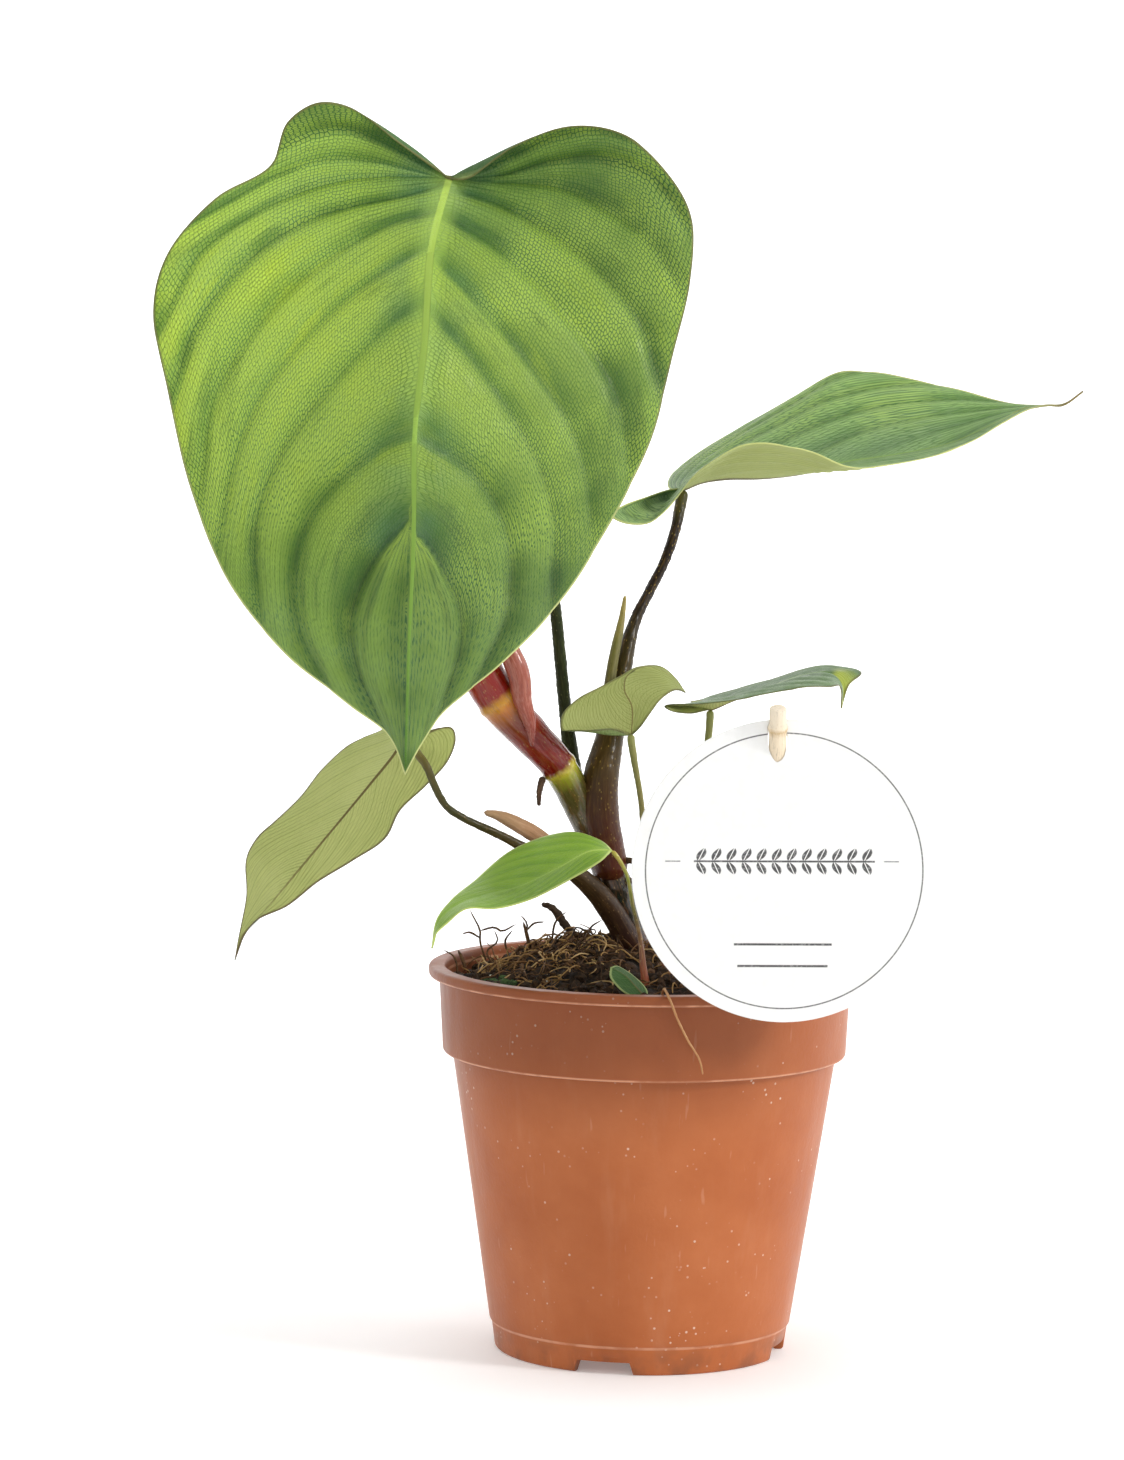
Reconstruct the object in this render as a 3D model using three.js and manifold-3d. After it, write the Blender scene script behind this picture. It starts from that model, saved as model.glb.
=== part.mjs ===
// A young philodendron in a plastic nursery pot, with a round card name tag on a bamboo stick.
// Millimetres, +Z up. The origin is on the pot's axis at the level of the surface it stands on.

import * as THREE from "three";
import { mergeVertices } from "three/addons/utils/BufferGeometryUtils.js";
import Module from "manifold-3d";

const wasm = await Module();
wasm.setup();

// Driving dimensions of the pot.
const POT_HEIGHT = 107;
const RIM_RADIUS = 60;
const RIM_HEIGHT = 3;
const COLLAR_TOP_RADIUS = 57;
const COLLAR_FOOT_RADIUS = 56;
const COLLAR_HEIGHT = 24;
const BODY_TOP_RADIUS = 53.2;
const FOOT_RADIUS = 40.6;
const FOOT_STEP_HEIGHT = 7.5;
const FOOT_STEP_DEPTH = 0.5;
const POT_WALL = 1.7;
const BASE_LIFT = 3.5;
const BASE_THICKNESS = 2;
const FOOT_RING_WIDTH = 3.2;
const NOTCH_WIDTH = 15.5;
const NOTCH_COUNT = 4;
const NOTCH_START_DEGREES = 255;
const DRAIN_HOLE_RADIUS = 4;
const DRAIN_CIRCLE_RADIUS = 28;
const DRAIN_HOLE_COUNT = 6;
const POT_SIDES = 48;

// Driving dimensions of the soil.
const SOIL_EDGE_DROP = 6;
const SOIL_CROWN = 9;
const SOIL_HEAP_HEIGHT = 4;
const SOIL_HEAP_SPREAD = 16;
const SOIL_HEAP_PLACE = [-20, 14];
const SOIL_RINGS = 7;
const SOIL_SIDES = 40;

// Driving dimensions of the tag and its stick.
const TAG_RADIUS = 40.5;
const TAG_THICKNESS = 0.8;
const TAG_CENTRE = [35.5, -62, 141.5];
const STICK_RADIUS = 2.4;
const STICK_FOOT = [34.5, -15, 58];
const STICK_HEAD = [33, -66.5, 187];
const STICK_KNUCKLE_SHARES = [0.3, 0.63, 0.955];
const KNUCKLE_SWELL = 0.35;

// Every pair of neighbours keeps this gap.
const GAP = 0.35;
const BLADE_THICKNESS = 0.8;

// ---------------------------------------------------------------------------------------------
// Helpers: curves, closed meshes and boolean cuts.

const toVector = ([x, y, z]) => new THREE.Vector3(x, y, z);

const splineThrough = (points) => new THREE.CatmullRomCurve3(points.map(toVector), false, "centripetal");

// The value at a share of the way along a list of evenly spaced values.
function valueAlong(values, share) {
  const place = share * (values.length - 1);
  const first = Math.min(Math.floor(place), values.length - 2);
  return THREE.MathUtils.lerp(values[first], values[first + 1], place - first);
}

function indexedGeometry(positions, indices) {
  const geometry = new THREE.BufferGeometry();
  geometry.setAttribute("position", new THREE.Float32BufferAttribute(positions, 3));
  geometry.setIndex(indices);
  return geometry;
}

function toSolid(source) {
  const geometry = source.clone();
  geometry.deleteAttribute("normal");
  geometry.deleteAttribute("uv");
  const merged = mergeVertices(geometry, 1e-4);
  return new wasm.Manifold(
    new wasm.Mesh({
      numProp: 3,
      vertProperties: new Float32Array(merged.attributes.position.array),
      triVerts: new Uint32Array(merged.index.array),
    }),
  );
}

function toGeometry(solid) {
  const mesh = solid.getMesh();
  return indexedGeometry(Array.from(mesh.vertProperties), Array.from(mesh.triVerts));
}

// The piece with its neighbours' swollen copies cut away. Only its largest remaining part is kept.
function cutClear(piece, neighbours) {
  let solid = toSolid(piece);
  for (const neighbour of neighbours) {
    solid = solid.subtract(toSolid(neighbour));
  }
  const parts = solid.decompose();
  const sizes = parts.map((part) => part.volume());
  return toGeometry(parts[sizes.indexOf(Math.max(...sizes))]);
}

function joined(pieces) {
  return toGeometry(pieces.map(toSolid).reduce((whole, piece) => whole.add(piece)));
}

// ---------------------------------------------------------------------------------------------
// Stalks, stems and roots: a closed round tube whose radius changes along its route.

function stalkGeometry({ route, radii, sides = 8, rings = 16 }, swell = 0) {
  const curve = splineThrough(route);
  const frames = curve.computeFrenetFrames(rings, false);
  const positions = [];
  const indices = [];
  for (let ring = 0; ring <= rings; ring++) {
    const centre = curve.getPointAt(ring / rings);
    const radius = valueAlong(radii, ring / rings) + swell;
    for (let side = 0; side < sides; side++) {
      const turn = (2 * Math.PI * side) / sides;
      const point = centre.clone();
      point.addScaledVector(frames.normals[ring], radius * Math.cos(turn));
      point.addScaledVector(frames.binormals[ring], radius * Math.sin(turn));
      positions.push(...point.toArray());
    }
  }
  for (let ring = 0; ring < rings; ring++) {
    for (let side = 0; side < sides; side++) {
      const a = ring * sides + side;
      const b = ring * sides + ((side + 1) % sides);
      indices.push(a, b, b + sides, a, b + sides, a + sides);
    }
  }
  // Each end closes on a low cone, so that a cut stalk has a slightly domed end.
  const startRadius = radii[0] + swell;
  const endRadius = radii[radii.length - 1] + swell;
  const start = curve.getPointAt(0).addScaledVector(frames.tangents[0], -0.4 * startRadius);
  const end = curve.getPointAt(1).addScaledVector(frames.tangents[rings], 0.4 * endRadius);
  const startIndex = positions.length / 3;
  positions.push(...start.toArray(), ...end.toArray());
  for (let side = 0; side < sides; side++) {
    const next = (side + 1) % sides;
    indices.push(startIndex, next, side);
    indices.push(startIndex + 1, rings * sides + side, rings * sides + next);
  }
  return indexedGeometry(positions, indices);
}

// ---------------------------------------------------------------------------------------------
// Leaf blades. Each half is swept by its side veins: a vein starts at the stalk for the lobe, or at
// a place along the midrib, and runs in an arch to the margin.

function bladePoint(leaf, curves, side, along, share, swell) {
  const pastLobe = Math.max(0, (along - leaf.lobeShare) / (1 - leaf.lobeShare));
  const rootShare = pastLobe ** leaf.rootPower;
  const root = curves.midrib.getPointAt(rootShare);
  const forward = curves.midrib.getTangentAt(rootShare);
  const edge = curves[side].getPointAt(along);
  const reach = edge.distanceTo(root);
  const across = share * (1 + swell / Math.max(reach, 1));
  const fade = Math.min(1, along / leaf.lobeShare);
  const middle = root.clone().add(edge).multiplyScalar(0.5);
  middle.addScaledVector(forward, -leaf.arch * fade * reach);
  middle.addScaledVector(curves.upper[side], leaf.crown * reach);
  const inner = (1 - across) ** 2;
  const outer = across ** 2;
  const between = 2 * across * (1 - across);
  return root.multiplyScalar(inner).addScaledVector(middle, between).addScaledVector(edge, outer);
}

// The direction out of the upper face of one half.
function upperDirection(leaf, side) {
  const stalk = toVector(leaf.midrib[0]);
  const tip = toVector(leaf.midrib[leaf.midrib.length - 1]).sub(stalk);
  const margin = leaf[side];
  const edge = toVector(margin[Math.floor(margin.length / 2)]).sub(stalk);
  const direction = side === "left" ? edge.cross(tip) : tip.clone().cross(edge);
  return direction.normalize();
}

// The thin middle surface of a blade, as merged points and triangles that face the upper side.
function bladeSurface(leaf, swell) {
  const tip = leaf.midrib[leaf.midrib.length - 1];
  const stalk = leaf.midrib[0];
  const curves = {
    midrib: splineThrough(leaf.midrib),
    left: splineThrough([stalk, ...leaf.left, tip]),
    right: splineThrough([stalk, ...leaf.right, tip]),
    upper: { left: upperDirection(leaf, "left"), right: upperDirection(leaf, "right") },
  };
  const positions = [];
  const indices = [];
  for (const side of ["left", "right"]) {
    const first = positions.length / 3;
    for (let i = 0; i <= leaf.along; i++) {
      for (let j = 0; j <= leaf.across; j++) {
        const point = bladePoint(leaf, curves, side, i / leaf.along, j / leaf.across, swell);
        positions.push(...point.toArray());
      }
    }
    const row = leaf.across + 1;
    for (let i = 0; i < leaf.along; i++) {
      for (let j = 0; j < leaf.across; j++) {
        const a = first + i * row + j;
        const quad = side === "left" ? [a, a + row, a + row + 1, a + 1] : [a, a + 1, a + row + 1, a + row];
        indices.push(quad[0], quad[1], quad[2], quad[0], quad[2], quad[3]);
      }
    }
  }
  const merged = mergeVertices(indexedGeometry(positions, indices), 1e-3);
  const triangles = [];
  const index = merged.index.array;
  for (let k = 0; k < index.length; k += 3) {
    const [a, b, c] = [index[k], index[k + 1], index[k + 2]];
    if (a !== b && b !== c && c !== a) {
      triangles.push(a, b, c);
    }
  }
  const surface = mergeVertices(indexedGeometry(Array.from(merged.attributes.position.array), triangles));
  surface.computeVertexNormals();
  return surface;
}

// The blade: its middle surface made thick both ways and closed round the margin.
function bladeGeometry(leaf, swell = 0) {
  const surface = bladeSurface(leaf, swell);
  const point = surface.attributes.position;
  const normal = surface.attributes.normal;
  const index = Array.from(surface.index.array);
  const count = point.count;
  const half = BLADE_THICKNESS / 2 + swell;
  const positions = [];
  for (const offset of [half, -half]) {
    for (let i = 0; i < count; i++) {
      positions.push(point.getX(i) + offset * normal.getX(i));
      positions.push(point.getY(i) + offset * normal.getY(i));
      positions.push(point.getZ(i) + offset * normal.getZ(i));
    }
  }
  const indices = [...index];
  const edges = new Set();
  for (let k = 0; k < index.length; k += 3) {
    const corners = [index[k], index[k + 1], index[k + 2]];
    indices.push(corners[0] + count, corners[2] + count, corners[1] + count);
    corners.forEach((corner, turn) => edges.add(`${corner},${corners[(turn + 1) % 3]}`));
  }
  for (const edge of edges) {
    const [a, b] = edge.split(",").map(Number);
    if (!edges.has(`${b},${a}`)) {
      indices.push(a, a + count, b + count, a, b + count, b);
    }
  }
  return indexedGeometry(positions, indices);
}

// ---------------------------------------------------------------------------------------------
// The pot, the soil, the tag and its stick.

const collarFoot = POT_HEIGHT - COLLAR_HEIGHT;
const rimFoot = POT_HEIGHT - RIM_HEIGHT;
const floorTop = BASE_LIFT + BASE_THICKNESS;

// Outer radius of the tapered body at a height.
const bodyRadius = (height) => THREE.MathUtils.lerp(FOOT_RADIUS, BODY_TOP_RADIUS, height / collarFoot);

function potGeometry() {
  const profile = [
    [0, BASE_LIFT],
    [FOOT_RADIUS - FOOT_RING_WIDTH, BASE_LIFT],
    [FOOT_RADIUS - FOOT_RING_WIDTH, 0],
    [FOOT_RADIUS - 1, 0],
    [FOOT_RADIUS - 0.3, 0.4],
    [FOOT_RADIUS - FOOT_STEP_DEPTH + 0.3, 1.2],
    [bodyRadius(FOOT_STEP_HEIGHT) - FOOT_STEP_DEPTH, FOOT_STEP_HEIGHT],
    [bodyRadius(FOOT_STEP_HEIGHT + 0.6), FOOT_STEP_HEIGHT + 0.6],
    [bodyRadius(collarFoot), collarFoot],
    [COLLAR_FOOT_RADIUS - 0.5, collarFoot],
    [COLLAR_FOOT_RADIUS, collarFoot + 0.8],
    [COLLAR_TOP_RADIUS, rimFoot - 0.8],
    [RIM_RADIUS - 0.7, rimFoot],
    [RIM_RADIUS, rimFoot + 0.7],
    [RIM_RADIUS, POT_HEIGHT - 0.9],
    [RIM_RADIUS - 0.9, POT_HEIGHT],
    [COLLAR_TOP_RADIUS - POT_WALL + 0.6, POT_HEIGHT],
    [COLLAR_TOP_RADIUS - POT_WALL, POT_HEIGHT - 0.8],
    [COLLAR_FOOT_RADIUS - POT_WALL, collarFoot + POT_WALL],
    [bodyRadius(collarFoot) - POT_WALL, collarFoot],
    [bodyRadius(floorTop) - POT_WALL, floorTop],
    [0, floorTop],
  ];
  const shell = new THREE.LatheGeometry(profile.map(([r, z]) => new THREE.Vector2(r, z)), POT_SIDES);
  shell.rotateX(Math.PI / 2);
  const cutters = [];
  for (let k = 0; k < NOTCH_COUNT; k++) {
    const turn = THREE.MathUtils.degToRad(NOTCH_START_DEGREES + (360 * k) / NOTCH_COUNT);
    const notch = new THREE.BoxGeometry(4 * FOOT_RING_WIDTH, NOTCH_WIDTH, 2 * BASE_LIFT);
    notch.translate(FOOT_RADIUS, 0, 0);
    notch.rotateZ(turn);
    cutters.push(notch);
  }
  for (let k = 0; k < DRAIN_HOLE_COUNT; k++) {
    const turn = (2 * Math.PI * (k + 0.5)) / DRAIN_HOLE_COUNT;
    const hole = new THREE.CylinderGeometry(DRAIN_HOLE_RADIUS, DRAIN_HOLE_RADIUS, 8 * BASE_THICKNESS, 12);
    hole.rotateX(Math.PI / 2);
    hole.translate(DRAIN_CIRCLE_RADIUS * Math.cos(turn), DRAIN_CIRCLE_RADIUS * Math.sin(turn), BASE_LIFT);
    cutters.push(hole);
  }
  return cutClear(shell, cutters);
}

// Inner radius of the pot at a height, less the gap to the soil.
function soilRadius(height) {
  const share = (height - collarFoot) / (POT_HEIGHT - collarFoot);
  const collar = THREE.MathUtils.lerp(COLLAR_FOOT_RADIUS, COLLAR_TOP_RADIUS, share);
  return (height > collarFoot ? collar : bodyRadius(height)) - POT_WALL - GAP;
}

const soilEdge = POT_HEIGHT - SOIL_EDGE_DROP;

function soilHeight(x, y) {
  const share = Math.hypot(x, y) / soilRadius(soilEdge);
  const heapReach = Math.hypot(x - SOIL_HEAP_PLACE[0], y - SOIL_HEAP_PLACE[1]) / SOIL_HEAP_SPREAD;
  const heap = SOIL_HEAP_HEIGHT * Math.exp(-0.5 * heapReach ** 2) * (1 - share ** 4);
  return soilEdge + SOIL_CROWN * (1 - share ** 2) + heap;
}

function soilGeometry() {
  const positions = [];
  const indices = [];
  const addRing = (radius, heightAt) => {
    for (let side = 0; side < SOIL_SIDES; side++) {
      const turn = (2 * Math.PI * side) / SOIL_SIDES;
      const x = radius * Math.cos(turn);
      const y = radius * Math.sin(turn);
      positions.push(x, y, heightAt(x, y));
    }
  };
  const shelfTop = collarFoot + POT_WALL + 2 * GAP;
  const shelfFoot = collarFoot + GAP;
  positions.push(0, 0, floorTop + GAP);
  addRing(soilRadius(floorTop + GAP) - GAP, () => floorTop + GAP);
  addRing(soilRadius(collarFoot), () => shelfFoot);
  addRing(soilRadius(shelfTop), () => shelfTop);
  for (let ring = SOIL_RINGS; ring > 0; ring--) {
    addRing((soilRadius(soilEdge) * ring) / SOIL_RINGS, soilHeight);
  }
  const ringCount = 3 + SOIL_RINGS;
  const top = positions.length / 3;
  positions.push(0, 0, soilHeight(0, 0));
  for (let side = 0; side < SOIL_SIDES; side++) {
    const next = (side + 1) % SOIL_SIDES;
    indices.push(0, 1 + next, 1 + side);
    for (let ring = 0; ring < ringCount - 1; ring++) {
      const a = 1 + ring * SOIL_SIDES + side;
      const b = 1 + ring * SOIL_SIDES + next;
      indices.push(a, b, b + SOIL_SIDES, a, b + SOIL_SIDES, a + SOIL_SIDES);
    }
    const last = 1 + (ringCount - 1) * SOIL_SIDES;
    indices.push(last + side, last + next, top);
  }
  return indexedGeometry(positions, indices);
}

// The bamboo stick is turned about its own axis, with a point below and swollen knuckles.
function stickGeometry(swell = 0) {
  const foot = toVector(STICK_FOOT);
  const direction = toVector(STICK_HEAD).sub(foot);
  const length = direction.length();
  const profile = [new THREE.Vector2(0, -swell)];
  profile.push(new THREE.Vector2(0.6 + swell, 0));
  profile.push(new THREE.Vector2(STICK_RADIUS + swell, 12));
  for (const share of STICK_KNUCKLE_SHARES) {
    const middle = share * length;
    profile.push(new THREE.Vector2(STICK_RADIUS + swell, middle - 1.2));
    profile.push(new THREE.Vector2(STICK_RADIUS + KNUCKLE_SWELL + swell, middle));
    profile.push(new THREE.Vector2(STICK_RADIUS + swell, middle + 1.2));
  }
  profile.push(new THREE.Vector2(STICK_RADIUS - 0.5 + swell, length + swell));
  profile.push(new THREE.Vector2(0, length + swell));
  const stick = new THREE.LatheGeometry(profile, 16);
  const turn = new THREE.Quaternion();
  turn.setFromUnitVectors(new THREE.Vector3(0, 1, 0), direction.normalize());
  stick.applyQuaternion(turn);
  stick.translate(foot.x, foot.y, foot.z);
  return stick;
}

function tagGeometry() {
  const outline = new THREE.Shape();
  outline.absarc(0, 0, TAG_RADIUS, 0, 2 * Math.PI);
  const settings = { depth: TAG_THICKNESS, bevelEnabled: false, curveSegments: 48 };
  const disc = new THREE.ExtrudeGeometry(outline, settings);
  disc.rotateX(Math.PI / 2);
  disc.translate(TAG_CENTRE[0], TAG_CENTRE[1] + TAG_THICKNESS / 2, TAG_CENTRE[2]);
  return disc;
}

// ---------------------------------------------------------------------------------------------
// The plant. Points are in the part's frame; a blade's sides are as seen on its upper face, tip down.

const stems = {
  main_stem: {
    route: [
      [1, 12, 90], [-1, 11, 100], [-5, 8, 117], [-9, 5, 129], [-12, 4, 137], [-16, 2, 146], [-20, 0, 154],
      [-25, -5, 163], [-33, -9, 172], [-41, -12, 181], [-46, -13, 189], [-49, -13, 198], [-51, -12, 207],
      [-52, -11, 215],
    ],
    radii: [5.2, 5, 4.9, 4.8, 4.4, 4.6, 4.8, 4.6, 4.6, 4.4, 3.2, 0.8],
    sides: 12,
    rings: 28,
  },
  basal_shoot: {
    route: [[7, -20, 90], [7, -20, 103], [6, -19, 110], [5, -17, 118]],
    radii: [1.9, 1.9, 1.7, 1.5],
    rings: 8,
  },
};

const cataphyll = {
  route: [[-32, -15, 169], [-33, -16, 176], [-35, -16, 182], [-36, -17, 189], [-39, -17, 196], [-43, -16, 204],
    [-47, -15, 211]],
  radii: [0.4, 1.6, 2.3, 2.5, 2.2, 1.4, 0.4],
  rings: 12,
};

const stalks = {
  large_leaf_stalk: {
    route: [[-19, 5, 152], [-21, 8, 162], [-23, 7, 176], [-25, 1, 194], [-27, -5, 211], [-33, -16, 242],
      [-42, -29, 277], [-50, -40, 307], [-54, -45, 317], [-56, -48, 321]],
    radii: [2.6, 1.8, 1.6, 1.5, 1.4, 1.4, 1.5, 1.9],
    rings: 24,
  },
  right_leaf_stalk: {
    route: [[-9, 3, 130], [-11, 2, 139], [-13, 0, 149], [-13, 0, 159], [-11, 3, 169], [-9, 7, 180],
      [-7, 11, 191], [-4, 16, 202], [0, 20, 210], [4, 23, 218], [7, 26, 227], [8, 28, 232], [9, 30, 236]],
    radii: [5.6, 4.9, 3.4, 2.9, 2.6, 2.5, 2.2, 1.5, 1.4, 1.4, 1.5, 1.7],
    sides: 10,
    rings: 24,
  },
  left_leaf_stalk: {
    route: [[-1, 8, 106], [-9, 2, 121], [-15, -4, 129], [-22, -9, 135], [-32, -13, 140], [-41, -17, 145],
      [-51, -21, 150], [-55, -23, 153], [-58, -25, 158], [-61, -26, 165], [-66, -21, 170]],
    radii: [3.6, 3.4, 3.2, 2.8, 2.2, 1.7, 1.5, 1.4, 1.4, 1.5],
    rings: 22,
  },
  young_leaf_stalk: {
    route: [[0, -30, 92], [0, -30, 104], [-1, -30, 111], [-2, -28, 119], [-4, -27, 127], [-6, -26, 136],
      [-9, -26, 141]],
    radii: [1.8, 1.7, 1.5, 1.2, 1, 0.9, 0.9],
    rings: 14,
  },
  centre_leaf_stalk: {
    route: [[5, -16, 121], [2, -14, 130], [-1, -12, 143], [-2, -11, 154], [-4, -11, 165], [-5, -10, 171]],
    radii: [1.1, 0.9, 0.8, 0.8, 1],
    rings: 10,
  },
  side_leaf_stalk: {
    route: [[8, -14, 119], [11, -6, 130], [14, 0, 148], [16, 4, 163], [17, 6, 176]],
    radii: [1.1, 0.9, 0.9, 0.9, 1.1],
    rings: 10,
  },
};

// Sheaths that stay on a stalk where the next shoot came out of it.
const sheaths = {
  right_leaf_stalk: {
    route: [[-12, 1, 178], [-10, 6, 192], [-8, 10, 202], [-7, 12, 209]],
    radii: [1.5, 1.5, 1.2, 0.4],
    rings: 8,
  },
  left_leaf_stalk: {
    route: [[-45, -17, 151], [-41, -16, 150], [-35, -14, 147], [-29, -11, 143], [-23, -8, 137]],
    radii: [0.6, 1.8, 2.2, 2.2, 1.2],
    rings: 8,
  },
};

const leaves = {
  large_leaf_blade: {
    midrib: [[-56, -51, 323], [-60, -74, 304], [-61, -87, 281], [-63, -94, 258], [-63, -95, 229],
      [-64, -90, 202], [-64, -76, 169]],
    left: [[-69, -62, 332], [-81, -68, 341], [-90, -71, 342], [-98, -70, 337], [-102, -69, 326],
      [-116, -76, 317], [-128, -85, 302], [-131, -89, 288], [-127, -90, 267], [-121, -89, 242],
      [-111, -88, 218], [-96, -85, 199], [-80, -80, 186], [-69, -78, 177]],
    right: [[-51, -57, 323], [-38, -63, 332], [-24, -65, 337], [-10, -63, 335], [1, -59, 326],
      [8, -57, 314], [8, -59, 297], [4, -61, 279], [-2, -65, 255], [-12, -69, 234], [-25, -73, 213],
      [-41, -78, 196], [-55, -78, 184], [-61, -77, 175]],
    lobeShare: 0.3, rootPower: 1.25, arch: 0.12, crown: 0.04, along: 24, across: 5,
  },
  right_leaf_blade: {
    midrib: [[9, 30, 238], [14, 33, 240], [21, 36, 241], [31, 42, 241], [42, 47, 242], [57, 54, 245],
      [72, 62, 247], [87, 72, 250], [101, 80, 256], [110, 88, 260], [116, 90, 261], [121, 94, 261],
      [127, 97, 265]],
    left: [[5, 24, 238], [-2, 16, 236], [-8, 10, 234], [-11, 7, 232], [-8, 7, 230], [-3, 8, 229],
      [2, 10, 232], [6, 12, 236], [12, 10, 243], [17, 8, 247], [24, 8, 251], [31, 10, 252], [38, 14, 251],
      [45, 20, 249], [55, 27, 245], [66, 36, 245], [79, 48, 247], [92, 62, 251], [102, 76, 256],
      [111, 86, 260], [116, 89.5, 261], [121, 93.5, 261]],
    right: [[7, 36, 237], [5, 42, 238], [6, 48, 241], [11, 54, 245], [22, 62, 252], [33, 68, 258],
      [45, 75, 265], [55, 80, 270], [64, 84, 270], [76, 87, 268], [90, 90, 265], [102, 91, 262],
      [109, 90.5, 261], [116, 90.5, 261], [121, 94.5, 261]],
    lobeShare: 0.3, rootPower: 1.2, arch: 0.1, crown: 0.02, along: 26, across: 4,
  },
  left_leaf_blade: {
    midrib: [[-67, -18, 171], [-70, -16, 166], [-76, -12, 158], [-86, -4, 145], [-97, 4, 131],
      [-107, 14, 118], [-113, 18, 111], [-114, 19, 108], [-115, 20, 104]],
    left: [[-63, -18, 171], [-60, -17, 173], [-57, -16, 174], [-54, -16, 174], [-53, -16, 171],
      [-55, -17, 165], [-61, -17, 158], [-68, -16, 151], [-72, -13, 143], [-81, -7, 136], [-91, 0, 129],
      [-100, 8, 121], [-109, 14, 116], [-112.5, 17.5, 111], [-113.6, 18.6, 108]],
    right: [[-65, -12, 174], [-66, -6, 177], [-70, -1, 177], [-73, 2, 172], [-79, 4, 169], [-84, 6, 166],
      [-91, 9, 159], [-97, 12, 151], [-104, 15, 144], [-109, 18, 139], [-112, 20, 133], [-112, 21, 122],
      [-113.5, 19.5, 113], [-114.4, 19.4, 108]],
    lobeShare: 0.2, rootPower: 1.2, arch: 0.08, crown: 0.04, along: 20, across: 4,
  },
  young_leaf_blade: {
    midrib: [[-10, -26, 142], [-16, -30, 142], [-24, -34, 138], [-35, -38, 133], [-44, -42, 131],
      [-51, -46, 129], [-56, -50, 125], [-58, -52, 118]],
    left: [[-13, -20, 144], [-20, -18, 146], [-28, -20, 145], [-38, -24, 141], [-47, -32, 134],
      [-53, -42, 130], [-57, -49, 125]],
    right: [[-13, -34, 140], [-21, -42, 136], [-32, -48, 131], [-41, -52, 129], [-49, -54, 129],
      [-54, -54, 125], [-57, -54, 122]],
    lobeShare: 0.05, rootPower: 1.1, arch: 0.05, crown: 0.06, along: 16, across: 4,
  },
  centre_leaf_blade: {
    midrib: [[-5, -9, 172], [-5, -10, 180], [-7, -8, 184], [-6, -3, 188], [-1, 0, 190], [5, 2, 188],
      [10, 2, 183]],
    left: [[-10, -12, 174], [-16, -16, 174], [-22, -18, 174], [-24, -18, 174], [-24, -16, 178],
      [-20, -12, 182], [-14, -8, 185], [-8, -4, 188], [-3, 2, 190], [3, 4, 190], [7, 4, 187]],
    right: [[-3, -10, 174], [0, -10, 178], [3, -9, 182], [6, -6, 184], [8, -2, 184]],
    lobeShare: 0.2, rootPower: 1.1, arch: 0.06, crown: 0.05, along: 16, across: 4,
  },
  side_leaf_blade: {
    midrib: [[17, 6, 178], [24, 8, 181], [34, 12, 184], [44, 18, 187], [51, 22, 187], [54, 20, 184],
      [54, 16, 178]],
    left: [[11, -6, 178], [6, -10, 179], [4, -6, 180], [11, -12, 181], [20, -14, 182], [30, -14, 184],
      [41, -12, 186], [50, -6, 186], [53, 4, 185]],
    right: [[15, 22, 179], [12, 30, 178], [15, 36, 178], [25, 36, 181], [36, 38, 184], [49, 38, 188],
      [56, 34, 188], [60, 28, 187], [56, 20, 184]],
    lobeShare: 0.25, rootPower: 1.1, arch: 0.05, crown: 0.05, along: 18, across: 4,
  },
  sprout_leaf: {
    midrib: [[0, -45, 104], [-3, -45, 107], [-6, -44, 110], [-10, -41, 112]],
    left: [[-4, -48, 105], [-7, -49, 107], [-10, -46, 110]],
    right: [[0, -42, 106], [-3, -39, 109], [-8, -38, 112]],
    lobeShare: 0.1, rootPower: 1, arch: 0.04, crown: 0.05, along: 8, across: 2,
  },
};

const roots = {
  aerial_root_1: { route: [[-29, -7, 160], [-30, -8, 156], [-30, -8, 152]], radii: [1.1, 0.8, 0.5] },
  aerial_root_2: { route: [[-7, 3, 136], [-3, 0, 136], [0, -2, 134]], radii: [1, 0.8, 0.5] },
  aerial_root_3: { route: [[-6, 2, 131], [-3, 1, 130], [-1, 0, 128]], radii: [0.9, 0.7, 0.5] },
  aerial_root_4: { route: [[-12, 3, 132], [-15, 1, 130], [-16, 0, 127]], radii: [0.9, 0.7, 0.5] },
  trailing_root: {
    route: [[3, -49, 101], [4, -54, 107.4], [4.5, -58, 108.6], [6, -61.6, 106], [8, -61, 101], [11, -59.5, 95],
      [14, -58.6, 90], [15, -58.4, 86]],
    radii: [0.6, 0.6, 0.5, 0.5, 0.4, 0.3],
    rings: 18,
  },
};

const twig = {
  route: [[-29, 22, 121], [-26, 21, 120], [-22, 20, 115], [-17, 18, 110], [-13, 16, 104]],
  radii: [0.7, 1.2, 1.1, 1, 0.7],
  rings: 8,
};

// Thick roots in the soil: they leave a crown under the stem and spread towards the pot's wall.
const ROOT_COUNT = 6;
const ROOT_CROWN = [1, 12, 89];

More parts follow.
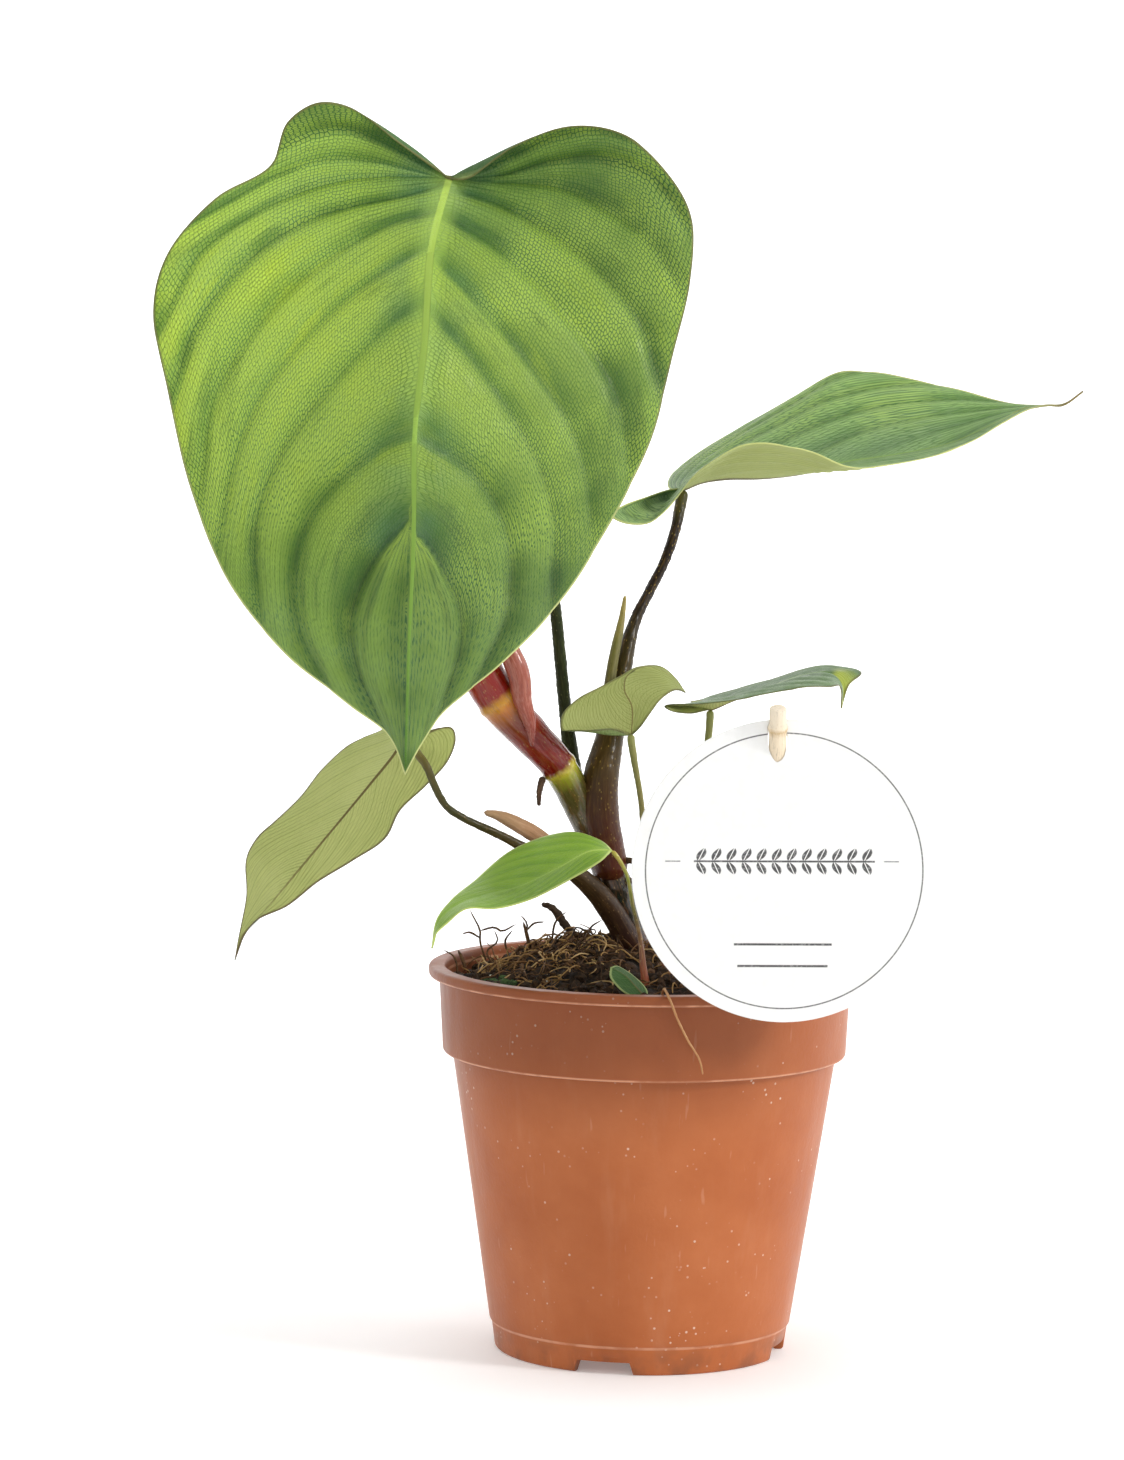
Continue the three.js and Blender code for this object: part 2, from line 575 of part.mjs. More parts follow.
function rootClumpGeometry(swell = 0) {
  const [x, y, z] = ROOT_CROWN;
  const pieces = [{ route: [[x, y, z], [x, y, z - 8], [x, y, z - 18]], radii: [4.2, 5, 1.6], rings: 4 }];
  for (let k = 0; k < ROOT_COUNT; k++) {
    const turn = (2 * Math.PI * k) / ROOT_COUNT + 0.3;
    const spread = k % 2 === 0 ? 32 : 24;
    const depth = k % 2 === 0 ? 54 : 64;
    const at = (share) => [
      x + spread * share * Math.cos(turn) * (1 - 0.25 * share),
      y * (1 - share) + spread * share * Math.sin(turn) * (1 - 0.25 * share),
      z - 6 - depth * share ** 1.4,
    ];
    pieces.push({ route: [0, 0.25, 0.5, 0.75, 1].map(at), radii: [2.4, 1.6, 1.2, 0.8], sides: 6, rings: 5 });
  }
  return joined(pieces.map((piece) => stalkGeometry(piece, swell)));
}

// ---------------------------------------------------------------------------------------------
// Assembly.

const group = new THREE.Group();

function addMesh(name, geometry, colour, roughness) {
  geometry.deleteAttribute("uv");
  geometry.computeVertexNormals();
  const material = new THREE.MeshStandardMaterial({ color: colour, roughness, metalness: 0 });
  const mesh = new THREE.Mesh(geometry, material);
  mesh.name = name;
  group.add(mesh);
}

const colours = {
  nursery_pot: 0xb9683f,
  potting_soil: 0x3a2a20,
  root_clump: 0xd2b78a,
  main_stem: 0x9a3a2a,
  red_cataphyll: 0xb4685c,
  basal_shoot: 0xa8563c,
  large_leaf_stalk: 0x34432c,
  right_leaf_stalk: 0x4a3626,
  left_leaf_stalk: 0x554634,
  young_leaf_stalk: 0x9a7a3c,
  centre_leaf_stalk: 0x7c7a46,
  side_leaf_stalk: 0x5a5634,
  large_leaf_blade: 0x5d9a3f,
  right_leaf_blade: 0x5a9050,
  left_leaf_blade: 0xa8b46c,
  young_leaf_blade: 0x8cc43c,
  centre_leaf_blade: 0xa2ac66,
  side_leaf_blade: 0x5c8a50,
  sprout_leaf: 0x3f6a34,
  root: 0x5a4230,
  twig: 0x33241a,
  name_tag: 0xf7f6f2,
  tag_stick: 0xe8d3b0,
};

addMesh("nursery_pot", potGeometry(), colours.nursery_pot, 0.5);

const swollenBlades = Object.values(leaves).map((leaf) => bladeGeometry(leaf, GAP));
const swollenStems = Object.values(stems).map((stem) => stalkGeometry(stem, GAP));
const swollenClump = rootClumpGeometry(GAP);
const stalkPieces = Object.entries(stalks).map(([name, stalk]) => {
  const parts = sheaths[name] ? [stalk, sheaths[name]] : [stalk];
  return { name, parts };
});

for (const [name, stem] of Object.entries(stems)) {
  addMesh(name, cutClear(stalkGeometry(stem), [swollenClump]), colours[name], 0.4);
}

const swollenPlant = [...swollenStems, ...swollenBlades, swollenClump];
for (const { name, parts } of stalkPieces) {
  const whole = joined(parts.map((part) => stalkGeometry(part)));
  addMesh(name, cutClear(whole, swollenPlant), colours[name], 0.55);
  swollenPlant.push(joined(parts.map((part) => stalkGeometry(part, GAP))));
}

addMesh("red_cataphyll", cutClear(stalkGeometry(cataphyll), swollenPlant), colours.red_cataphyll, 0.35);

for (const [name, leaf] of Object.entries(leaves)) {
  addMesh(name, bladeGeometry(leaf), colours[name], 0.45);
}

for (const [name, root] of Object.entries(roots)) {
  const piece = { sides: 6, rings: 6, ...root };
  addMesh(name, cutClear(stalkGeometry(piece), swollenPlant), colours.root, 0.8);
  swollenPlant.push(stalkGeometry(piece, GAP));
}

addMesh("bark_twig", cutClear(stalkGeometry({ sides: 6, ...twig }), swollenPlant), colours.twig, 0.9);
swollenPlant.push(stalkGeometry({ sides: 6, ...twig }, GAP));

addMesh("root_clump", rootClumpGeometry(), colours.root_clump, 0.8);
addMesh("potting_soil", cutClear(soilGeometry(), [...swollenPlant, stickGeometry(GAP)]), colours.potting_soil, 0.95);
addMesh("name_tag", cutClear(tagGeometry(), [stickGeometry(GAP)]), colours.name_tag, 0.6);
addMesh("tag_stick", stickGeometry(), colours.tag_stick, 0.6);

export default group;
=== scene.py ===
# %% [markdown]
# # A potted philodendron, made piece by piece
# This lesson makes a young philodendron in a plastic nursery pot, with a round card tag on a bamboo
# stick. The shapes were first made as closed solids in CAD, and those fix every size and place. Here
# each solid gets a finely made twin with real creases, rings, crumbs and edges. The solids could
# also have been painted as they are, but their facets are too coarse for a leaf seen close up.

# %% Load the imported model
import math

import bmesh
import bpy
import numpy as np
from mathutils import Matrix, Vector, noise


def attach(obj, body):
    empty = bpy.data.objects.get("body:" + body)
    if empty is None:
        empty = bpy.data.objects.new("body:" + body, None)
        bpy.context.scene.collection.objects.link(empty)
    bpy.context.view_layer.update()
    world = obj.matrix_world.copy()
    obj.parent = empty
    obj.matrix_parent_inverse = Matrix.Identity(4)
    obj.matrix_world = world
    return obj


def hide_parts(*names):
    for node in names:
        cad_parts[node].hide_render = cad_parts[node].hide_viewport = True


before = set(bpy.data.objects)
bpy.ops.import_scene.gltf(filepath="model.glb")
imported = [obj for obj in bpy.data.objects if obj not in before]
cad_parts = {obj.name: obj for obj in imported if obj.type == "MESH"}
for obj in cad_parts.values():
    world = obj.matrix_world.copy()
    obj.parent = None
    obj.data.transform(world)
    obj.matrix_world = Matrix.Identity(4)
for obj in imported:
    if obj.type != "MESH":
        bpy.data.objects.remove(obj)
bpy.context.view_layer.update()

MM = 0.001
dice = np.random.default_rng(7)
print("CAD nodes:", len(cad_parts))

# %% [markdown]
# ## Camera, light and floor
# The plant stands in a pale studio bowl: a flat floor that curves up into a wall, so that no horizon
# shows from any side. A flat floor alone would be simpler, but it ends in a visible edge. The bowl
# glows, more behind the plant than in front of it. A soft key lamp on the right, a lamp above and a
# weak one on the left shape the leaves.

# %% Camera
LENS = 132.66
DOWNWARD = math.radians(5.43)
ROLL = math.radians(0.85)
CAMERA_PLACE = (-0.024, -1.480, 0.313)

camera_data = bpy.data.cameras.new("camera")
camera_data.lens = LENS
camera_data.sensor_width = 36
camera = bpy.data.objects.new("camera", camera_data)
bpy.context.scene.collection.objects.link(camera)
forward = Vector((0, math.cos(DOWNWARD), -math.sin(DOWNWARD)))
level_up = Vector((1, 0, 0)).cross(forward)
across_view = Vector((1, 0, 0)) * math.cos(ROLL) + level_up * math.sin(ROLL)
up_view = level_up * math.cos(ROLL) - Vector((1, 0, 0)) * math.sin(ROLL)
camera.matrix_world = Matrix((across_view, up_view, -forward)).transposed().to_4x4()
camera.location = CAMERA_PLACE
bpy.context.scene.camera = camera

# %% Colours and a small paint kit
def tint(colour):
    """A screen colour, 0 to 255 a channel, as the linear colour of four numbers that shaders use."""
    if len(colour) == 4:
        return colour
    channels = [value / 255 for value in colour]
    linear = [v / 12.92 if v <= 0.04045 else ((v + 0.055) / 1.055) ** 2.4 for v in channels]
    return (*linear, 1)


class Finish:
    """A paint recipe: one material whose colour, gloss and relief come from nodes."""

    def __init__(self, name, **settings):
        self.material = bpy.data.materials.new(name)
        self.material.use_nodes = True
        self.tree = self.material.node_tree
        self.shader = next(n for n in self.tree.nodes if n.type == "BSDF_PRINCIPLED")
        for socket, value in settings.items():
            self.shader.inputs[socket.replace("_", " ")].default_value = value

    def feed(self, socket, value):
        if isinstance(value, bpy.types.NodeSocket):
            self.tree.links.new(value, socket)
        elif value is not None:
            socket.default_value = tint(value) if socket.type == "RGBA" else value

    def node(self, kind, output, inputs, **settings):
        made = self.tree.nodes.new("ShaderNode" + kind)
        for key, value in settings.items():
            setattr(made, key, value)
        for key, value in inputs.items():
            self.feed(made.inputs[key], value)
        return made.outputs[output]

    def math(self, operation, a, b=0.0, clamp=False):
        return self.node("Math", 0, {0: a, 1: b}, operation=operation, use_clamp=clamp)

    def plus(self, a, b):
        return self.math("ADD", a, b)

    def minus(self, a, b):
        return self.math("SUBTRACT", a, b)

    def times(self, a, b, *more):
        product = self.math("MULTIPLY", a, b)
        return self.times(product, *more) if more else product

    def apart(self, a, b):
        return self.math("ABSOLUTE", self.minus(a, b))

    def axis(self, k, source=None):
        """One number of a place: 0 across, 1 in depth, 2 up."""
        return self.node("SeparateXYZ", k, {0: source or self.place()})

    def blend(self, share, a, b):
        return self.node("Mix", 0, {0: share, 2: a, 3: b}, data_type="FLOAT")

    def mix(self, share, a, b, blend="MIX"):
        return self.node("Mix", 2, {0: share, 6: a, 7: b}, data_type="RGBA", blend_type=blend)

    def layers(self, base, *covers):
        """A base colour under covers of (share, colour), the last one on top."""
        for share, colour in covers:
            base = self.mix(share, base, colour)
        return base

    def fade(self, value, start, end, low=0.0, high=1.0):
        """The value mapped from start..end to low..high, and held there outside."""
        places = {0: value, 1: start, 2: end, 3: low, 4: high}
        return self.node("MapRange", 0, places, interpolation_type="SMOOTHSTEP")

    def ramp(self, value, stops):
        made = self.tree.nodes.new("ShaderNodeValToRGB")
        while len(made.color_ramp.elements) < len(stops):
            made.color_ramp.elements.new(1)
        for element, (place, colour) in zip(made.color_ramp.elements, stops):
            element.position = place
            element.color = tint(colour)
        self.feed(made.inputs[0], value)
        return made.outputs[0]

    def read(self, name, output="Fac"):
        return self.node("Attribute", output, {}, attribute_name=name)

    def place(self, stretch=(1, 1, 1), source=None):
        """Object places, or a stored direction list, scaled for a pattern."""
        where = source or self.node("TexCoord", "Object", {})
        return self.node("Mapping", 0, {"Vector": where, "Scale": stretch})

    def noise(self, scale, where=None, detail=3.0, rough=0.5, output=0):
        inputs = {"Vector": where or self.place(), "Scale": scale, "Detail": detail, "Roughness": rough}
        return self.node("TexNoise", output, inputs)

    def cells(self, scale, where=None, feature="F1", scatter=1.0, output=0):
        inputs = {"Vector": where or self.place(), "Scale": scale, "Randomness": scatter}
        return self.node("TexVoronoi", output, inputs, feature=feature)

    def relief(self, height, depth, strength=1.0, under=None):
        inputs = {"Height": height, "Distance": depth, "Strength": strength, "Normal": under}
        return self.node("Bump", 0, inputs)

    def finish(self, colour, gloss=None, relief=None):
        self.feed(self.shader.inputs["Base Color"], colour)
        self.feed(self.shader.inputs["Roughness"], gloss)
        self.feed(self.shader.inputs["Normal"], relief)
        return self.material

# %% Meshes from lists of places
def add_piece(name, places, faces, finish, slot, stands_for=(), marks=None, smooth=True):
    """A mesh that rides on the plant's one body. Marks are values stored for each point."""
    mesh = bpy.data.meshes.new(name)
    mesh.from_pydata([tuple(p) for p in places], [], [tuple(f) for f in faces])
    mesh.validate()
    for mark, values in (marks or {}).items():
        values = np.asarray(values, np.float32)
        kind, key = ("FLOAT_VECTOR", "vector") if values.ndim == 2 else ("FLOAT", "value")
        mesh.attributes.new(mark, kind, "POINT").data.foreach_set(key, values.ravel())
    mesh.polygons.foreach_set("use_smooth", [smooth] * len(mesh.polygons))
    mesh.materials.append(finish)
    piece = bpy.data.objects.new(name, mesh)
    bpy.context.scene.collection.objects.link(piece)
    if slot:
        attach(piece, "root")
        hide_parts(*stands_for)
    return piece


def grid_faces(rows, columns, start=0, closed=False):
    """Quads between neighbouring rows of points. A closed grid joins its last column to its first."""
    faces = []
    for i in range(rows - 1):
        for j in range(columns if closed else columns - 1):
            a = start + i * columns + j
            b = start + i * columns + (j + 1) % columns
            faces.append((a, b, b + columns, a + columns))
    return faces


def turned_shape(profile, sides):
    """Points of a profile of (radius, height) turned about the pot's axis, ring by ring."""
    turn = np.linspace(0, 2 * math.pi, sides, endpoint=False)
    rings = [np.stack([r * np.cos(turn), r * np.sin(turn), np.full(sides, z)], 1) for r, z in profile]
    return np.concatenate(rings)

# %% Studio bowl
BOWL_FLAT_RADIUS = 1.9
BOWL_CURVE = 1.1
BOWL_WALL_TOP = 3.4
BOWL_CURVE_STEPS = 12
BOWL_SIDES = 96
BOWL_GLOW = 0.62

bowl_profile = [(0.0001, 0), (0.5, 0), (1.2, 0), (BOWL_FLAT_RADIUS, 0)]
for step in range(1, BOWL_CURVE_STEPS + 1):
    bend = math.pi / 2 * step / BOWL_CURVE_STEPS
    ring = (BOWL_FLAT_RADIUS + BOWL_CURVE * math.sin(bend), BOWL_CURVE * (1 - math.cos(bend)))
    bowl_profile.append(ring)
bowl_profile.append((BOWL_FLAT_RADIUS + BOWL_CURVE, BOWL_WALL_TOP))

bowl_paint = Finish("studio_paint", Roughness=0.9, Emission_Strength=BOWL_GLOW)
paint_grain = bowl_paint.noise(6.0)
# The glow grows from the front left to the back right, so the light has a direction.
x_side, y_side = [bowl_paint.axis(k, bowl_paint.place((0.45, 0.9, 1))) for k in (0, 1)]
glow = bowl_paint.fade(bowl_paint.plus(x_side, y_side), -0.9, 1.6)
glow_colour = bowl_paint.ramp(glow, [(0, (40, 40, 40)), (1, (255, 255, 255))])
bowl_paint.feed(bowl_paint.shader.inputs["Emission Color"], glow_colour)
bowl_colour = bowl_paint.ramp(paint_grain, [(0.3, (250, 250, 250)), (0.7, (253, 253, 253))])
bowl_material = bowl_paint.finish(bowl_colour)
bowl_faces = grid_faces(len(bowl_profile), BOWL_SIDES, closed=True)
bowl = add_piece("studio_bowl", turned_shape(bowl_profile, BOWL_SIDES), bowl_faces, bowl_material, None)

# %% Lamps
def add_lamp(name, place, aim, size, watts, colour):
    light = bpy.data.lights.new(name, "AREA")
    light.size = size
    light.energy = watts
    light.color = colour
    lamp = bpy.data.objects.new(name, light)
    bpy.context.scene.collection.objects.link(lamp)
    lamp.location = place
    lamp.rotation_mode = "QUATERNION"
    lamp.rotation_quaternion = (Vector(aim) - Vector(place)).to_track_quat("-Z", "Y")


# Each lamp: name, place, aim, size in metres, watts, colour.
LAMPS = [
    ("key_lamp", (1.6, -0.75, 1.05), (0, 0, 0.15), 0.36, 17, (1.0, 0.985, 0.96)),
    ("top_lamp", (-0.2, 0.1, 1.7), (0, 0, 0.2), 0.8, 7, (1, 1, 1)),
    ("fill_lamp", (-0.9, -1.5, 0.9), (0, 0, 0.25), 0.7, 2, (0.97, 0.985, 1.0)),
]
for lamp_row in LAMPS:
    add_lamp(*lamp_row)

SKY_STRENGTH = 0.2
world = bpy.data.worlds.new("sky")
world.use_nodes = True
sky = world.node_tree.nodes["Background"]
sky.inputs["Color"].default_value = (1, 1, 1, 1)
sky.inputs["Strength"].default_value = SKY_STRENGTH
bpy.context.scene.world = world
bpy.context.scene.view_settings.view_transform = "Standard"

# %% [markdown]
# ## The nursery pot
# A nursery pot is blown or moulded from one thin sheet of plastic: a rolled rim, a deep straight
# collar, a tapered body and a foot ring with notches that let water run out. It could be carved with
# booleans, but a turned profile is quicker and its rounded edges catch light as moulded ones do. The
# notches only lift the ring's lowest points, column by column, and the drain holes are cut last.

# %% Pot dimensions in millimetres
POT_HEIGHT = 107
RIM_RADIUS = 60
RIM_HEIGHT = 3
COLLAR_TOP_RADIUS = 57
COLLAR_FOOT_RADIUS = 56
COLLAR_HEIGHT = 24
BODY_TOP_RADIUS = 53.2
FOOT_RADIUS = 40.6
FOOT_STEP_HEIGHT = 7.5
FOOT_STEP_DEPTH = 0.5
POT_WALL = 1.7
BASE_LIFT = 3.5
BASE_THICKNESS = 2
FOOT_RING_WIDTH = 3.2
NOTCH_WIDTH = 15.5
NOTCH_DEGREES = [255, 345, 75, 165]
DRAIN_HOLE_RADIUS = 4
DRAIN_CIRCLE_RADIUS = 28
DRAIN_HOLE_COUNT = 6
HOLE_SIDES = 24

collar_foot = POT_HEIGHT - COLLAR_HEIGHT
rim_foot = POT_HEIGHT - RIM_HEIGHT
floor_top = BASE_LIFT + BASE_THICKNESS


def body_radius(height):
    return FOOT_RADIUS + (BODY_TOP_RADIUS - FOOT_RADIUS) * height / collar_foot

# %% Rounded corners for a profile
def rounded(profile, radius, steps=4):
    """The profile with each corner swapped for a short arc."""
    out = [profile[0]]
    for before, corner, after in zip(profile, profile[1:], profile[2:]):
        corner = Vector(corner)
        back = Vector(before) - corner
        ahead = Vector(after) - corner
        cut = min(radius, back.length * 0.45, ahead.length * 0.45)
        start = corner + back.normalized() * cut
        end = corner + ahead.normalized() * cut
        for k in range(steps + 1):
            t = k / steps
            out.append(tuple(start * (1 - t) ** 2 + corner * 2 * t * (1 - t) + end * t ** 2))
    return out + [profile[-1]]


foot_top = FOOT_STEP_HEIGHT + 0.6
pot_profile = rounded([
    (0.01, BASE_LIFT), (FOOT_RADIUS - FOOT_RING_WIDTH, BASE_LIFT), (FOOT_RADIUS - FOOT_RING_WIDTH, 0),
    (FOOT_RADIUS - 0.4, 0), (body_radius(FOOT_STEP_HEIGHT) - FOOT_STEP_DEPTH, FOOT_STEP_HEIGHT),
    (body_radius(foot_top), foot_top), (body_radius(40), 40), (body_radius(collar_foot), collar_foot),
    (COLLAR_FOOT_RADIUS - 0.1, collar_foot), (COLLAR_TOP_RADIUS, rim_foot),
    (RIM_RADIUS - 0.1, rim_foot),
    (RIM_RADIUS, POT_HEIGHT - 0.1), (COLLAR_TOP_RADIUS - POT_WALL + 0.3, POT_HEIGHT),
    (COLLAR_TOP_RADIUS - POT_WALL, POT_HEIGHT - 1.4), (COLLAR_FOOT_RADIUS - POT_WALL,
    collar_foot + POT_WALL),
    (body_radius(collar_foot) - POT_WALL, collar_foot), (body_radius(floor_top) - POT_WALL, floor_top),
    (0.01, floor_top),
], 1.0)

# %% Turn the pot and lift its notches
POT_SIDES = 240
pot_points = turned_shape(pot_profile, POT_SIDES)
pot_turn = np.degrees(np.arctan2(pot_points[:, 1], pot_points[:, 0])) % 360
pot_radius = np.hypot(pot_points[:, 0], pot_points[:, 1])
half_notch = math.degrees(NOTCH_WIDTH / 2 / FOOT_RADIUS)
for middle in NOTCH_DEGREES:
    apart = np.abs((pot_turn - middle + 180) % 360 - 180)
    lifted = (apart < half_notch) & (pot_points[:, 2] < BASE_LIFT) & (pot_radius > 30)
    pot_points[lifted, 2] = BASE_LIFT
# The wall of a moulded pot is never perfectly true: it wavers by a tenth of a millimetre or two.
waver = 1 + 0.0016 * np.sin(np.radians(pot_turn) * 3 + 0.8)
waver = waver + 0.0011 * np.sin(np.radians(pot_turn) * 5 + 2)
middle_height = (pot_points[:, 2] > 12) & (pot_points[:, 2] < 100)
pot_points[middle_height, :2] *= waver[middle_height, None]
print("pot points:", len(pot_points))

# %% [markdown]
# ## Terracotta-coloured plastic
# The plastic is a matte orange-brown with a dull gloss. Handling leaves it dusty, with fine pale
# scratches and specks of dried soil. A painted shadow of the leaves and the tag darkens the upper
# part, most on the left, and painted highlights run along the moulded edges. A plain brown would
# look like clay, so each of these is a thin layer over the brown.

# %% Pot finish
pot_skin = Finish("pot_plastic", Specular_IOR_Level=0.22)
pot_clouds = pot_skin.noise(28, detail=5, rough=0.6)
pot_height = pot_skin.axis(2)
streaks = pot_skin.noise(90, pot_skin.place((1, 1, 0.16)), detail=4, rough=0.7)
scratches = pot_skin.noise(420, pot_skin.place((1, 1, 0.12)), detail=2)
specks = pot_skin.times(pot_skin.fade(pot_skin.cells(420), 0.17, 0.11),
    pot_skin.fade(pot_skin.noise(60), 0.5, 0.64))
grime = pot_skin.times(pot_skin.fade(pot_height, 0.012, 0.0),
    pot_skin.fade(pot_skin.noise(130), 0.4, 0.6))
# Painted shadow of the leaves and the tag: the pot's upper part darkens, most on the left.
painted_shadow_side = pot_skin.fade(pot_skin.axis(0), 0.054, 0.02, 0.16, 0.55)
pot_layers = [
    (pot_skin.times(pot_skin.fade(streaks, 0.5, 0.8), 0.16), (204, 146, 114)),
    (pot_skin.times(pot_skin.fade(scratches, 0.7, 0.76), 0.16), (222, 176, 150)),
    (pot_skin.times(specks, 0.75), (232, 208, 188)),
    (pot_skin.times(grime, 0.5), (120, 78, 56)),
    # The painted shadow on the upper part of the pot.
    (pot_skin.times(pot_skin.fade(pot_height, 0.06, 0.096), painted_shadow_side), (98, 52, 34)),
]
# Painted highlights run along the rim's foot, the collar's foot and the step above the ground, broken up
# by noise.
for edge_height in (rim_foot, collar_foot, FOOT_STEP_HEIGHT):
    near_edge = pot_skin.fade(pot_skin.apart(pot_height, (edge_height + 0.2) * MM), 0.0006, 0.0002)
    broken = pot_skin.fade(pot_skin.noise(150), 0.35, 0.6, 0.25, 0.7)
    pot_layers.append((pot_skin.times(near_edge, broken), (222, 166, 134)))
pot_colour = pot_skin.ramp(pot_clouds, [(0.3, (168, 91, 48)), (0.55, (179, 102, 58)),
    (0.75, (187, 110, 66))])
pot_colour = pot_skin.layers(pot_colour, *pot_layers)
pot_gloss = pot_skin.fade(streaks, 0.3, 0.8, 0.32, 0.52)
pot_grain = pot_skin.relief(pot_skin.noise(900, detail=2), 0.0002, 0.35)
pot_material = pot_skin.finish(pot_colour, pot_gloss, pot_skin.relief(specks, 0.0002, 0.5, pot_grain))

pot_faces = grid_faces(len(pot_profile), POT_SIDES, closed=True)
pot = add_piece("nursery_pot_shell", pot_points * MM, pot_faces, pot_material, "pot_plastic",
    ["nursery_pot"])

# %% Drain holes
def cut_away(piece, places, faces):
    """Cuts a closed shape out of a piece, and leaves no modifier behind."""
    mesh = bpy.data.meshes.new("cutter")
    mesh.from_pydata([tuple(p) for p in places], [], faces)
    cutter = bpy.data.objects.new("cutter", mesh)
    bpy.context.scene.collection.objects.link(cutter)
    cut = piece.modifiers.new("cut", "BOOLEAN")
    cut.operation = "DIFFERENCE"
    cut.solver = "EXACT"
    cut.object = cutter
    bpy.context.view_layer.update()
    result = bpy.data.meshes.new_from_object(piece.evaluated_get(bpy.context.evaluated_depsgraph_get()))
    piece.modifiers.clear()
    piece.data = result
    bpy.data.objects.remove(cutter)


WELD_GAP = 0.00002


def tidy(piece):
    """Welds points that lie on each other and turns every face outwards."""
    work = bmesh.new()
    work.from_mesh(piece.data)
    bmesh.ops.remove_doubles(work, verts=work.verts, dist=WELD_GAP)
    bmesh.ops.recalc_face_normals(work, faces=work.faces)
    work.to_mesh(piece.data)
    work.free()


tidy(pot)
plug_points = []
plug_faces = []
for k in range(DRAIN_HOLE_COUNT):
    turn = 2 * math.pi * (k + 0.5) / DRAIN_HOLE_COUNT
    middle = np.array([DRAIN_CIRCLE_RADIUS * math.cos(turn), DRAIN_CIRCLE_RADIUS * math.sin(turn), 0])
    start = len(plug_points)
    for height in (BASE_LIFT - 1, floor_top + 1):
        for side in range(HOLE_SIDES):
            angle = 2 * math.pi * side / HOLE_SIDES
            out_x = DRAIN_HOLE_RADIUS * math.cos(angle)
            out_y = DRAIN_HOLE_RADIUS * math.sin(angle)
            plug_points.append((middle + [out_x, out_y, height]) * MM)
    plug_faces += grid_faces(2, HOLE_SIDES, start, closed=True)
    plug_faces.append(tuple(range(start + HOLE_SIDES - 1, start - 1, -1)))
    plug_faces.append(tuple(range(start + HOLE_SIDES, start + 2 * HOLE_SIDES)))
cut_away(pot, plug_points, plug_faces)
for face in pot.data.polygons:
    face.use_smooth = abs(face.normal.z) < 0.999
print("pot faces after the holes:", len(pot.data.polygons))

# %% [markdown]
# ## Smooth lines
# Leaves, stalks and roots all follow curves drawn through a few given places. Blender's own
# curves could do it, but a leaf needs the same curve as numbers, to hang its veins on. So one helper
# gives evenly spaced places on a curve that never overshoots its control places.

# %% Evenly spaced places on a curve
def smooth_line(controls, count=160):
    """Places in metres, evenly spaced on a smooth curve through control places in millimetres."""
    knots = np.array(controls, float) * MM
    knots = np.vstack([2 * knots[0] - knots[1], knots, 2 * knots[-1] - knots[-2]])
    t = np.linspace(0, 1, 24, endpoint=False)[:, None]
    pieces = []
    for p0, p1, p2, p3 in zip(knots, knots[1:], knots[2:], knots[3:]):
        pairs = ((p0, p1), (p1, p2), (p2, p3))
        d0, d1, d2 = [max(np.linalg.norm(b - a) ** 0.5, 1e-6) for a, b in pairs]
        leave = ((p1 - p0) / d0 - (p2 - p0) / (d0 + d1) + (p2 - p1) / d1) * d1
        arrive = ((p2 - p1) / d1 - (p3 - p1) / (d1 + d2) + (p3 - p2) / d2) * d1
        bend = 2 * t ** 3 - 3 * t ** 2
        places = (1 + bend) * p1 - bend * p2
        places = places + (t ** 3 - 2 * t ** 2 + t) * leave + (t ** 3 - t ** 2) * arrive
        pieces.append(places)
    dense = np.vstack(pieces + [knots[-2][None]])
    run = np.concatenate([[0], np.cumsum(np.linalg.norm(np.diff(dense, axis=0), axis=1))])
    even = np.linspace(0, run[-1], count)
    return np.stack([np.interp(even, run, dense[:, k]) for k in range(dense.shape[1])], 1)


def place_on(line, share):
    """The places at these shares of the way along an evenly spaced line."""
    steps = np.linspace(0, 1, len(line))
    return np.stack([np.interp(share, steps, line[:, k]) for k in range(line.shape[1])], -1)


def unit(vectors):
    return vectors / np.maximum(np.linalg.norm(vectors, axis=-1, keepdims=True), 1e-12)


def nearest_on(places, line):
    """For each place: its distance to a line, and the share of the way along at which that is."""
    distance = np.full(len(places), 9.0)
    share = np.zeros(len(places))
    for k in range(len(line) - 1):
        side = line[k + 1] - line[k]
        along = np.clip((places - line[k]) @ side / max(side @ side, 1e-18), 0, 1)
        apart = np.linalg.norm(places - line[k] - along[:, None] * side, axis=1)
        closer = apart < distance
        distance[closer] = apart[closer]
        share[closer] = (k + along[closer]) / (len(line) - 1)
    return distance, share


print("a test line of", len(smooth_line([[0, 0, 0], [10, 0, 0], [10, 10, 0]])), "places")

# %% [markdown]
# ## Leaf blades
# A heart-shaped leaf is two thin halves on one midrib. Each half is swept by its side veins: a vein
# leaves the stalk or the midrib and arches to the margin. A flat plane bent with modifiers would not
# let creases follow the veins. Here every point stores where it lies between two veins, how far out
# along them, and how wide the gap is, so the creases and the painted net of fine veins can follow.

# %% The halves of a blade
LEAF_HALF_THICKNESS = 0.26 * MM
LEAF_EDGE_HALF_THICKNESS = 0.13 * MM
MIDRIB_STEPS = 240
MARGIN_STEPS = 400


def upper_direction(leaf, side):
    stalk = np.array(leaf["midrib"][0], float)
    tip = np.array(leaf["midrib"][-1], float) - stalk
    margin = leaf[side]
    edge = np.array(margin[len(margin) // 2], float) - stalk
    return unit(np.cross(edge, tip) if side == "left" else np.cross(tip, edge))


